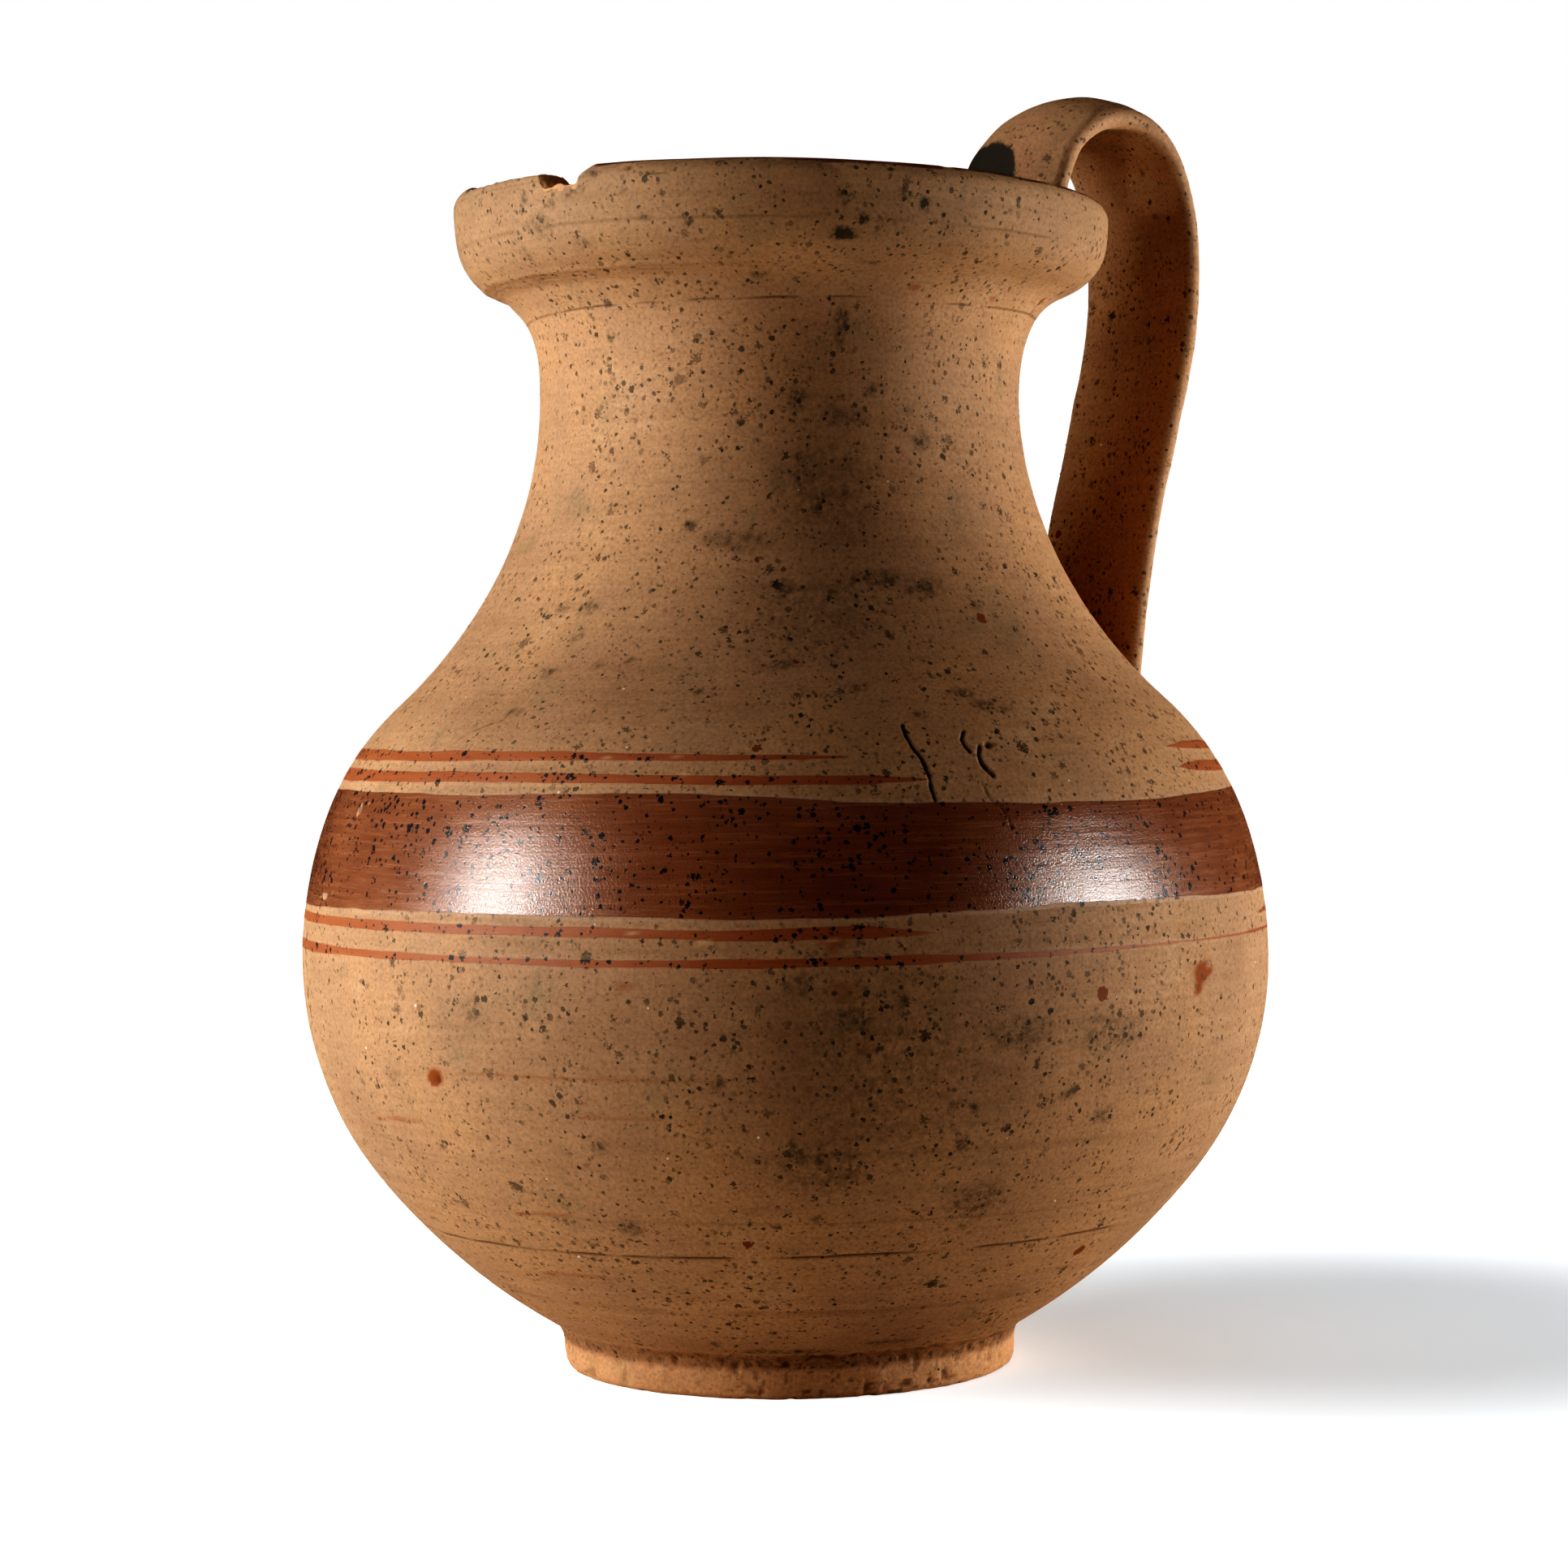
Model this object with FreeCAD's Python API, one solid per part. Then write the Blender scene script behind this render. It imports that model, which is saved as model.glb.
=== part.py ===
"""Terracotta wine jug: a wheel-thrown round body on a low foot ring, with a collar rim, a raised
strap handle and bands of red slip.

Lengths are millimetres and angles are degrees. +Z is up, the origin is on the table under the
middle of the foot, and the handle stands over +X.

A potter makes such a jug in sections that are luted together when leather-hard: a bowl with its
floor, a belly ring, a neck, a collar rim, a foot ring and a pulled strap handle, whose two ends
are bedded in rolls of soft clay. Each section is a solid of its own here, and the joints are the
faces where the potter pressed them together. The slip is a separate thin layer on the clay.
"""

import math
import os

import FreeCAD
import Part

from FreeCAD import Vector

# Clay body
wall = 5.0
table_gap = 3.5  # from the table to the underside of the floor, inside the foot ring

# Outer profile of the thrown body. A rise is counted from the station below, and an angle is the
# direction of the profile at its station, on its way up, from the horizontal.
floor_radius = 28.0
bowl_root_radius = 46.2
bowl_root_height = 9.0
bowl_root_angle = 30.0
belly_radius = 95.0
belly_height = 80.5
shoulder_inset = 19.9
shoulder_rise = 50.5
shoulder_angle = 137.7
neck_radius = 47.2
neck_rise = 59.7
collar_joint_flare = 2.4
collar_joint_rise = 13.8
collar_joint_angle = 65.0
level_angle = 0.0
upright_angle = 90.0
back_angle = 180.0
full_angle = 360.0

shoulder_radius = belly_radius - shoulder_inset
shoulder_height = belly_height + shoulder_rise
neck_height = shoulder_height + neck_rise
collar_joint_radius = neck_radius + collar_joint_flare
collar_joint_height = neck_height + collar_joint_rise

# Seam that runs round the lower belly, where the belly ring sits on the bowl
seam_height = 31.0

# Foot ring
foot_inset = 1.7  # from the root of the bowl in to the ring's side
foot_width = 8.9
foot_widest_height = 3.6
foot_top_overrun = 4.0  # the ring is made this much too tall, then cut to the bowl it bears
foot_edge_radius = 1.8
foot_inner_edge_radius = 2.0
foot_radius = bowl_root_radius - foot_inset
foot_inner_radius = foot_radius - foot_width

# Collar rim: each flare and rise is counted from the station below
underside_flare = 7.2
underside_rise = 6.7
underside_angle = 25.0
collar_turn_flare = 4.4
collar_turn_rise = 3.0
collar_turn_angle = 48.0
collar_flare = 3.2
lip_rise = 14.3
lip_edge_radius = 2.6
collar_thickness = 6.6
underside_radius = collar_joint_radius + underside_flare
underside_height = collar_joint_height + underside_rise
collar_turn_radius = underside_radius + collar_turn_flare
collar_turn_height = underside_height + collar_turn_rise
collar_radius = collar_turn_radius + collar_flare
lip_height = collar_turn_height + lip_rise

# Mouth, inside the collar: an upright wall, then a turn inwards to the neck
mouth_depth = 10.0
mouth_turn_step = 6.5
mouth_turn_drop = 5.5
mouth_turn_angle = 207.0
mouth_radius = collar_radius - collar_thickness
mouth_floor_height = lip_height - mouth_depth
mouth_turn_radius = mouth_radius - mouth_turn_step
mouth_turn_height = mouth_floor_height - mouth_turn_drop

# Strap handle: section
handle_width = 33.2
handle_edge_thickness = 4.6
handle_crown = 3.8  # the outer face is fuller in the middle than at the edges by this much
handle_hollow = 0.8  # the inner face is hollow by this much

# Strap handle: centre line, from its root on the collar over its top and down to the shoulder.
# A share is a part of the way between the two stations named beside it.
handle_root_inset = 7.8
handle_root_drop = 9.0
handle_root_angle = 84.0
handle_rise = 22.5
handle_top_share = 0.54  # from the root out to the reach
handle_overhang = 2.0  # how far it stands out past the belly
handle_reach_drop = 5.5
waist_distance_share = 0.384  # from the landing out to the reach
waist_height_share = 0.402  # from the landing up to the reach
handle_waist_angle = 254.8
handle_landing_gap = 4.7
handle_landing_rise = 8.0
handle_landing_angle = 262.5
handle_end_gap = 0.1
handle_end_drop = 7.5
handle_end_angle = 240.0
handle_root_distance = collar_radius - handle_root_inset
handle_root_height = lip_height - handle_root_drop
handle_reach = belly_radius + handle_overhang
handle_reach_height = lip_height - handle_reach_drop
handle_top_distance = handle_root_distance + handle_top_share * (handle_reach - handle_root_distance)
handle_top_height = lip_height + handle_rise
handle_landing_distance = shoulder_radius + handle_landing_gap
handle_landing_height = shoulder_height + handle_landing_rise
handle_end_distance = shoulder_radius + handle_end_gap
handle_end_height = shoulder_height - handle_end_drop

# Rolls of soft clay that bed the two ends of the strap. Each is longer than the strap is wide.
roll_overhang = 2.4
rim_roll_radius = 5.6
rim_roll_cover = 0.6  # how far it shows past the strap's crown, inside the mouth
rim_roll_drop = 7.5
shoulder_roll_radius = 6.4
shoulder_roll_gap = 4.3
shoulder_roll_drop = 3.0
strap_crown_distance = handle_root_distance - handle_edge_thickness / 2 - handle_crown
rim_roll_distance = strap_crown_distance - rim_roll_cover + rim_roll_radius

# Slip bands: lower and upper edge of each, as shares of the climb from the belly's widest place
# to the shoulder joint
slip_thickness = 0.2
upper_line_a_shares = 0.790, 0.826
upper_line_b_shares = 0.714, 0.752
broad_band_shares = 0.2535, 0.664
lower_line_a_shares = 0.180, 0.216
lower_line_b_shares = 0.085, 0.117
lip_slip_angle = 40.0  # how steep the rounded lip may be where its slip ends

# Breaks in the lip: bearing round the jug from the handle, width along the lip and depth
notch_bearing_angle = 194.5
notch_width = 14.0
notch_depth = 3.1
spall_bearing_angle = 175.0
spall_width = 24.0
spall_depth = 1.4
nick_bearing_angle = 163.5
nick_width = 6.0
nick_depth = 1.2

cutter_margin = 10.0  # how far a cutting body reaches past what it cuts

# Limits of the sums
nothing = 1e-6  # a curvature, a turn or a run below this counts as none
halvings = 60


def heading(degrees):
    """Unit direction in the profile plane, where x is the distance from the axis."""
    angle = math.radians(degrees)
    return Vector(math.cos(angle), 0, math.sin(angle))


def left_of(direction):
    """The direction a quarter turn anticlockwise in the profile plane."""
    return Vector(-direction.z, 0, direction.x)


class Run:
    """One arc of a profile, from a point and heading to an end point. A positive offset lies on
    the right of the heading, which is outside the clay on a profile that climbs."""

    def __init__(self, start, direction, end):
        chord = end - start
        side = left_of(direction)
        self.start = start
        self.direction = direction
        self.side = side
        self.curvature = 2 * chord.dot(side) / chord.dot(chord)
        if abs(self.curvature) < nothing:
            self.length = chord.Length
        else:
            turn = 2 * math.atan2(chord.dot(side), chord.dot(direction))
            self.length = turn / self.curvature

    def heading_at(self, travelled):
        turn = self.curvature * travelled
        return self.direction * math.cos(turn) + self.side * math.sin(turn)

    def point(self, travelled, offset=0.0):
        turn = self.curvature * travelled
        if abs(self.curvature) < nothing:
            along, across = travelled, 0.0
        else:
            along = math.sin(turn) / self.curvature
            across = (1 - math.cos(turn)) / self.curvature
        here = self.start + self.direction * along + self.side * across
        return here - left_of(self.heading_at(travelled)) * offset

    def edge(self, begin, finish, offset):
        first = self.point(begin, offset)
        last = self.point(finish, offset)
        if abs(self.curvature) < nothing:
            return Part.LineSegment(first, last).toShape()
        return Part.Arc(first, self.point((begin + finish) / 2, offset), last).toShape()


class Profile:
    """A smooth chain of arcs through stations of (distance, height, heading in degrees), with
    two tangent arcs between each pair of stations."""

    def __init__(self, stations):
        self.runs = []
        for lower, upper in zip(stations[:-1], stations[1:]):
            start = Vector(lower[0], 0, lower[1])
            end = Vector(upper[0], 0, upper[1])
            leaving, arriving = heading(lower[2]), heading(upper[2])
            chord = end - start
            both = leaving + arriving
            bend = 2 * (1 - leaving.dot(arriving))
            if bend < nothing:
                reach = chord.dot(chord) / (2 * chord.dot(both))
            else:
                half = chord.dot(both)
                reach = (math.sqrt(half * half + bend * chord.dot(chord)) - half) / bend
            middle = (start + leaving * reach + end - arriving * reach) * 0.5
            first = Run(start, leaving, middle)
            self.runs.append(first)
            self.runs.append(Run(middle, first.heading_at(first.length), end))
        self.length = sum(run.length for run in self.runs)

    def locate(self, travelled):
        for run in self.runs[:-1]:
            if travelled <= run.length:
                return run, travelled
            travelled -= run.length
        return self.runs[-1], min(travelled, self.runs[-1].length)

    def point(self, travelled, offset=0.0):
        run, inside = self.locate(travelled)
        return run.point(inside, offset)

    def at_height(self, height):
        """Distance travelled along the profile to a height. The profile climbs all the way."""
        low, high = 0.0, self.length
        for _ in range(halvings):
            middle = (low + high) / 2
            if self.point(middle).z < height:
                low = middle
            else:
                high = middle
        return (low + high) / 2

    def edges(self, begin, finish, offset=0.0):
        made = []
        passed = 0.0
        for run in self.runs:
            first = max(begin - passed, 0.0)
            last = min(finish - passed, run.length)
            if last - first > nothing:
                made.append(run.edge(first, last, offset))
            passed += run.length
        return made


def segment(first, last):
    return Part.LineSegment(first, last).toShape()


def lathe(edges):
    """The solid turned from a closed outline in the profile plane."""
    wire = Part.Wire(Part.__sortEdges__(edges))
    return Part.Face(wire).revolve(Vector(0, 0, 0), Vector(0, 0, 1), full_angle)


def layer(profile, begin, finish, inner_offset, outer_offset):
    """A turned layer between two offsets of a profile, cut square to it at both ends."""
    outline = profile.edges(begin, finish, outer_offset)
    outline += profile.edges(begin, finish, inner_offset)
    for end in (begin, finish):
        outline.append(segment(profile.point(end, inner_offset), profile.point(end, outer_offset)))
    return lathe(outline)


body_profile = Profile(
    [
        (0.0, table_gap, level_angle),
        (floor_radius, table_gap, level_angle),
        (bowl_root_radius, bowl_root_height, bowl_root_angle),
        (belly_radius, belly_height, upright_angle),
        (shoulder_radius, shoulder_height, shoulder_angle),
        (neck_radius, neck_height, upright_angle),
        (collar_joint_radius, collar_joint_height, collar_joint_angle),
    ]
)
seam = body_profile.at_height(seam_height)
shoulder = body_profile.at_height(shoulder_height)


def lower_bowl():
    """The thrown bowl: the floor and the wall up to the seam."""
    floor_middle = Vector(0, 0, table_gap)
    floor_top = Vector(0, 0, table_gap + wall)
    outline = body_profile.edges(0.0, seam)
    outline += body_profile.edges(0.0, seam, -wall)
    outline.append(segment(body_profile.point(seam, -wall), body_profile.point(seam)))
    outline.append(segment(floor_middle, floor_top))
    return lathe(outline)


def belly_wall():
    """The belly ring, from the seam to the shoulder, where the neck was set on."""
    return layer(body_profile, seam, shoulder, -wall, 0.0)


def neck_wall():
    """The neck, from the shoulder to the groove under the collar."""
    return layer(body_profile, shoulder, body_profile.length, -wall, 0.0)


def filled_body():
    """Everything inside the outer profile, used to seat other pieces on it."""
    top = body_profile.point(body_profile.length)
    outline = body_profile.edges(0.0, body_profile.length)
    outline.append(segment(top, Vector(0, 0, top.z)))
    outline.append(segment(Vector(0, 0, top.z), Vector(0, 0, table_gap)))
    return lathe(outline)


def foot_ring(seat):
    """The low foot: a rounded ring whose top is cut to the bowl that it bears."""
    top = bowl_root_height + foot_top_overrun
    outer_flat = foot_radius - foot_edge_radius
    inner_flat = foot_inner_radius + foot_inner_edge_radius
    outer = Profile([(outer_flat, 0.0, level_angle), (foot_radius, foot_widest_height, upright_angle)])
    outline = outer.edges(0.0, outer.length)
    outline.append(segment(Vector(foot_radius, 0, foot_widest_height), Vector(foot_radius, 0, top)))
    outline.append(segment(Vector(foot_radius, 0, top), Vector(foot_inner_radius, 0, top)))
    inner_edge = Vector(foot_inner_radius, 0, foot_inner_edge_radius)
    outline.append(segment(Vector(foot_inner_radius, 0, top), inner_edge))
    inner = Profile(
        [
            (foot_inner_radius, foot_inner_edge_radius, -upright_angle),
            (inner_flat, 0.0, level_angle),
        ]
    )
    outline += inner.edges(0.0, inner.length)
    outline.append(segment(Vector(inner_flat, 0, 0), Vector(outer_flat, 0, 0)))
    return lathe(outline).cut(seat).Solids[0]


def rounding(centre, radius, begin, finish):
    """An arc of a rounded edge in the profile plane, between two directions from its centre."""
    points = [centre + heading(way) * radius for way in (begin, (begin + finish) / 2, finish)]
    return Part.Arc(*points).toShape()


def lip_edges(offset, lowest):
    """The lip's rounded top, from its outer side to its inner side. The lowest direction, seen
    from the middle of each rounded edge, is where it starts and ends."""
    corner_height = lip_height - lip_edge_radius
    outer_corner = Vector(collar_radius - lip_edge_radius, 0, corner_height)
    inner_corner = Vector(mouth_radius + lip_edge_radius, 0, corner_height)
    radius = lip_edge_radius + offset
    top = Vector(0, 0, radius)
    return [
        rounding(outer_corner, radius, lowest, upright_angle),
        segment(outer_corner + top, inner_corner + top),
        rounding(inner_corner, radius, upright_angle, back_angle - lowest),
    ]


def rim_collar():
    """The collar: a hollow under its lip outside, and a broad step inside the mouth."""
    corner_height = lip_height - lip_edge_radius
    outer = Profile(
        [
            (collar_joint_radius, collar_joint_height, collar_joint_angle),
            (underside_radius, underside_height, underside_angle),
            (collar_turn_radius, collar_turn_height, collar_turn_angle),
            (collar_radius, corner_height, upright_angle),
        ]
    )
    joint_inside = body_profile.point(body_profile.length, -wall)
    inner = Profile(
        [
            (mouth_radius, mouth_floor_height, -upright_angle),
            (mouth_turn_radius, mouth_turn_height, mouth_turn_angle),
            (joint_inside.x, joint_inside.z, collar_joint_angle + back_angle),
        ]
    )
    outline = outer.edges(0.0, outer.length)
    outline += lip_edges(0.0, level_angle)
    inner_side = Vector(mouth_radius, 0, corner_height)
    outline.append(segment(inner_side, Vector(mouth_radius, 0, mouth_floor_height)))
    outline += inner.edges(0.0, inner.length)
    outline.append(segment(joint_inside, body_profile.point(body_profile.length)))
    return lathe(outline)


def slip_band(shares):
    """A painted band: a thin turned layer on the outside of the clay."""
    begin, finish = (
        body_profile.at_height(belly_height + share * shoulder_rise) for share in shares
    )
    return layer(body_profile, begin, finish, 0.0, slip_thickness)


def lip_slip():
    """The painted lip: slip over its top and part of both rounded edges."""
    clay = lip_edges(0.0, lip_slip_angle)
    paint = lip_edges(slip_thickness, lip_slip_angle)
    ends = [
        segment(clay[0].firstVertex().Point, paint[0].firstVertex().Point),
        segment(clay[-1].lastVertex().Point, paint[-1].lastVertex().Point),
    ]
    return lathe(clay + paint + ends)


def lip_break(bearing, width, depth):
    """What spalled off the lip: a round bar across it, that bites to the depth over the width."""
    radius = (width * width / 4 + depth * depth) / (2 * depth)
    reach = collar_thickness + 2 * cutter_margin
    bar = Part.makeCylinder(radius, reach)
    bar.rotate(Vector(0, 0, 0), Vector(0, 1, 0), upright_angle)
    bar.translate(Vector(mouth_radius - cutter_margin, 0, lip_height - depth + radius))
    bar.rotate(Vector(0, 0, 0), Vector(0, 0, 1), bearing)
    return bar


def strap_section():
    """Cross-section of the strap at its root, square to the centre line: a slightly hollow
    inner face, rounded edges and a full outer face, which looks to the jug's axis there."""
    edge_radius = handle_edge_thickness / 2
    half = handle_width / 2 - edge_radius
    middle = strap_profile.point(0.0)
    outward = left_of(heading(handle_root_angle))

    def at(out, sideways):
        return middle + outward * out + Vector(0, sideways, 0)

    faces = ((edge_radius, handle_crown), (-edge_radius, handle_hollow))
    edges = []
    for face, rise in faces:
        middle_point = at(face + rise, 0)
        edges.append(Part.Arc(at(face, -half), middle_point, at(face, half)).toShape())
    for side in (-1, 1):
        tip = at(0, side * (half + edge_radius))
        ends = [at(out, side * half) for out in (-edge_radius, edge_radius)]
        edges.append(Part.Arc(ends[0], tip, ends[1]).toShape())
    return Part.Wire(Part.__sortEdges__(edges))


strap_profile = Profile(
    [
        (handle_root_distance, handle_root_height, handle_root_angle),
        (handle_top_distance, handle_top_height, level_angle),
        (handle_reach, handle_reach_height, -upright_angle),
        (
            handle_landing_distance + waist_distance_share * (handle_reach - handle_landing_distance),
            handle_landing_height + waist_height_share * (handle_reach_height - handle_landing_height),
            handle_waist_angle,
        ),
        (handle_landing_distance, handle_landing_height, handle_landing_angle),
        (handle_end_distance, handle_end_height, handle_end_angle),
    ]
)


def handle_strap(body, collar):
    """The pulled strap, swept along its centre line and cut to the lip and the shoulder."""
    path = Part.Wire(strap_profile.edges(0.0, strap_profile.length))
    sweep = Part.BRepOffsetAPI.MakePipeShell(path)
    sweep.setBiNormalMode(Vector(0, 1, 0))
    sweep.add(strap_section())
    sweep.build()
    sweep.makeSolid()
    strap = sweep.shape()
    return max(strap.cut(body).cut(collar).Solids, key=lambda solid: solid.Volume)


def clay_roll(radius, distance, height):
    """A roll of clay with round ends, laid across the handle."""
    straight = handle_width / 2 + roll_overhang - radius
    roll = Part.makeCylinder(radius, 2 * straight, Vector(0, -straight, 0), Vector(0, 1, 0))
    for end in (-straight, straight):
        roll = roll.fuse(Part.makeSphere(radius, Vector(0, end, 0)))
    roll.translate(Vector(distance, 0, height))
    return roll.removeSplitter()


def build():
    seat = filled_body()
    collar = rim_collar()
    strap = handle_strap(seat, collar)
    rim_roll = clay_roll(rim_roll_radius, rim_roll_distance, lip_height - rim_roll_drop)
    shoulder_roll = clay_roll(
        shoulder_roll_radius,
        shoulder_radius + shoulder_roll_gap,
        shoulder_height - shoulder_roll_drop,
    )
    rim_roll = rim_roll.cut(collar).cut(strap)
    shoulder_roll = shoulder_roll.cut(seat).cut(strap)
    lip_paint = lip_slip().cut(strap).cut(rim_roll)
    breaks = (
        (notch_bearing_angle, notch_width, notch_depth),
        (spall_bearing_angle, spall_width, spall_depth),
        (nick_bearing_angle, nick_width, nick_depth),
    )
    for bearing, width, depth in breaks:
        scoop = lip_break(bearing, width, depth)
        collar = collar.cut(scoop)
        lip_paint = lip_paint.cut(scoop)
    return {
        "foot_ring": foot_ring(seat),
        "lower_bowl": lower_bowl(),
        "belly_wall": belly_wall(),
        "neck_wall": neck_wall(),
        "rim_collar": collar,
        "handle_strap": strap,
        "rim_luting": rim_roll,
        "shoulder_luting": shoulder_roll,
        "slip_upper_line_a": slip_band(upper_line_a_shares),
        "slip_upper_line_b": slip_band(upper_line_b_shares),
        "slip_broad_band": slip_band(broad_band_shares),
        "slip_lower_line_a": slip_band(lower_line_a_shares),
        "slip_lower_line_b": slip_band(lower_line_b_shares),
        "slip_lip": lip_paint,
    }


os.makedirs("parts", exist_ok=True)
for name, shape in build().items():
    solids = shape.Solids
    piece = solids[0] if len(solids) == 1 else Part.makeCompound(solids)
    piece.exportStep(f"parts/{name}.step")
    print(f"{name}: {len(solids)} solid, valid {piece.isValid()}, {piece.Volume:.0f} mm3")
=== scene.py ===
import math
from itertools import product

import bmesh
import bpy
import numpy as np
from mathutils import Matrix, Vector
from mathutils.bvhtree import BVHTree


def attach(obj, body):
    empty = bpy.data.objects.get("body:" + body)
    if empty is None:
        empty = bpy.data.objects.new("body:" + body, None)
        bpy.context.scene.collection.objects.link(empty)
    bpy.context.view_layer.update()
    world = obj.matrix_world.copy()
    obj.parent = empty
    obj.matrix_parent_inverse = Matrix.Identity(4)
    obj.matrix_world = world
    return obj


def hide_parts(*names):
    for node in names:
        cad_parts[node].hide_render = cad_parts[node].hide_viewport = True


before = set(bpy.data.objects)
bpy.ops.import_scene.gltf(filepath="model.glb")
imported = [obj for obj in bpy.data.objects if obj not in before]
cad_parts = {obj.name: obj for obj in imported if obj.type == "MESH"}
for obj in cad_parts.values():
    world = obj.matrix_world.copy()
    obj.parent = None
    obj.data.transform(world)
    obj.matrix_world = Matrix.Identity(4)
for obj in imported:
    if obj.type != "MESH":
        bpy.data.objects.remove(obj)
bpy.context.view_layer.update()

# Terracotta wine jug: wheel-thrown, with bands of red slip. Lengths are millimetres and turn to
# metres where a mesh is made. Bearings are degrees round the jug from the handle, which stands
# over +X, anticlockwise seen from above.
MM = 0.001
scene = bpy.context.scene

# Camera, as it stood for the photograph
camera_bearing = 233.5
camera_distance = 724.5
camera_height = 129.8
camera_dip = 1.21
camera_roll = 0.65
lens = 83.85
sensor = 36.0
print_contrast = 0.24  # how much steeper the photograph's print is in the shadows than in the lights
print_steepness = 1.2  # how steep it is next to white

# How far the potter's hand left each turned surface from true
lip_dip = 0.0303  # the lip falls this much per millimetre, towards the handle that drags on it
lip_dip_bearing = 341.5
lip_shift = 0.7  # the collar's centre has moved this far
lip_shift_bearing = 323.5
wobble = 0.22
ring_depth = 0.035
ring_spacing = 4.2

# Slip
slip_lift = 0.05  # the coat stands this proud of the clay
slip_margin = 1.1  # each skin runs on this far past its painted edge, as bare clay

# The lip's breaks
lip_radius = 62.0  # their widths are measured here
lip_middle = 61.0
break_slant = 0.012  # how much deeper a break is for each millimetre further out
break_reach = 6.0  # none reaches further down the collar than this

# The foot and the strap
foot_fillet = 3.4  # the wet clay that was run in where the foot meets the bowl
foot_outside = 41.0  # what stands further out than this is the foot's outer side
strap_root = (60.0, 0.0, 228.0)
strap_voxel = 0.75  # how finely the strap and its luting are worked into one

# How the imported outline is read
corner_slack = 0.03  # corners of two nodes as near as this are one
joint_slack = 0.01  # a corner as near as this to a straight joint lies on it

seed = 7
whole_word = 0xFFFFFFFF  # 32 bits


def smooth_step(low, high, value):
    """From 0 at low to 1 at high, easing in and out."""
    part = np.clip((value - low) / (high - low), 0.0, 1.0)
    return part * part * (3.0 - 2.0 * part)


def rough(points, size, key):
    """Smooth noise from -1 to 1 at each point, with lumps of about the given size."""
    grid = np.asarray(points, float) / size
    cell = np.floor(grid).astype(np.int64)
    part = grid - cell
    part = part * part * (3.0 - 2.0 * part)
    total = np.zeros(len(grid))
    for corner in product((0, 1), repeat=3):
        at = cell + np.array(corner)
        mixed = at[:, 0] * 374761393 + at[:, 1] * 668265263 + at[:, 2] * 1274126177
        mixed = (mixed + (key + seed) * 974634777) & whole_word
        mixed = ((mixed ^ (mixed >> 13)) * 1103515245) & whole_word
        mixed = ((mixed ^ (mixed >> 15)) * 668265263) & whole_word
        value = (mixed ^ (mixed >> 16)) / whole_word * 2.0 - 1.0
        share = np.prod(np.where(np.array(corner), part, 1.0 - part), axis=1)
        total += value * share
    return total


def lumpy(points, *each):
    """Lumps of several sizes added up, each (height, size, key)."""
    return sum(height * rough(points, size, key) for height, size, key in each)


def round_axis(radius, turn, height):
    """Places or directions round the jug's axis, from angles in radians."""
    return np.stack([radius * np.cos(turn), radius * np.sin(turn), height + 0.0 * turn], axis=-1)


def round_the_jug(bearing, table):
    """Values at each bearing from a table of (bearing, value, ...) that closes on itself."""
    rows = sorted(table)
    rows = [(rows[-1][0] - 360.0,) + rows[-1][1:]] + rows + [(rows[0][0] + 360.0,) + rows[0][1:]]
    at = [row[0] for row in rows]
    turned = np.mod(bearing, 360.0)
    return [np.interp(turned, at, [row[k] for row in rows]) for k in range(1, len(rows[0]))]


def turned_edges(name):
    """A turned node's outline: the edges of its mesh on the half-plane over the handle."""
    mesh = bmesh.new()
    mesh.from_mesh(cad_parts[name].data)
    bmesh.ops.remove_doubles(mesh, verts=mesh.verts, dist=1e-7)
    near = 1e-6
    found = set()
    for edge in mesh.edges:
        ends = [vert.co for vert in edge.verts]
        if all(abs(end.y) < near and end.x > -near for end in ends):
            pair = frozenset((round(end.x / MM, 3) + 0.0, round(end.z / MM, 3) + 0.0) for end in ends)
            if len(pair) == 2:
                found.add(pair)
    mesh.free()
    return found


# The nodes of the thrown jug, from the lowest up
turned_nodes = "lower_bowl", "belly_wall", "neck_wall", "rim_collar"


class Section:
    """A smooth line through points of (radius, height), read by the distance travelled along it."""

    def __init__(self, points):
        self.points = np.array(points, float)
        steps = np.hypot(*np.diff(self.points, axis=0).T)
        self.travelled = np.concatenate([[0.0], np.cumsum(steps)])
        self.length = self.travelled[-1]
        slopes = np.diff(self.points, axis=0) / steps[:, None]
        before, after = steps[:-1, None], steps[1:, None]
        middle = (slopes[:-1] * after + slopes[1:] * before) / (before + after)
        self.slopes = np.vstack([slopes[:1], middle, slopes[-1:]])

    def at(self, travelled):
        """Points there, and the unit direction out of the clay."""
        travelled = np.clip(travelled, 0.0, self.length)
        low = np.clip(np.searchsorted(self.travelled, travelled) - 1, 0, len(self.points) - 2)
        span = (self.travelled[low + 1] - self.travelled[low])[:, None]
        part = (travelled - self.travelled[low])[:, None] / span
        a, b = self.points[low], self.points[low + 1]
        p, q = self.slopes[low] * span, self.slopes[low + 1] * span
        place = (
            a * (2 * part**3 - 3 * part**2 + 1)
            + p * (part**3 - 2 * part**2 + part)
            + b * (3 * part**2 - 2 * part**3)
            + q * (part**3 - part**2)
        )
        slope = (
            a * (6 * part**2 - 6 * part)
            + p * (3 * part**2 - 4 * part + 1)
            + b * (6 * part - 6 * part**2)
            + q * (3 * part**2 - 2 * part)
        )
        slope /= np.hypot(*slope.T)[:, None]
        return place, np.column_stack([slope[:, 1], -slope[:, 0]])


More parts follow.
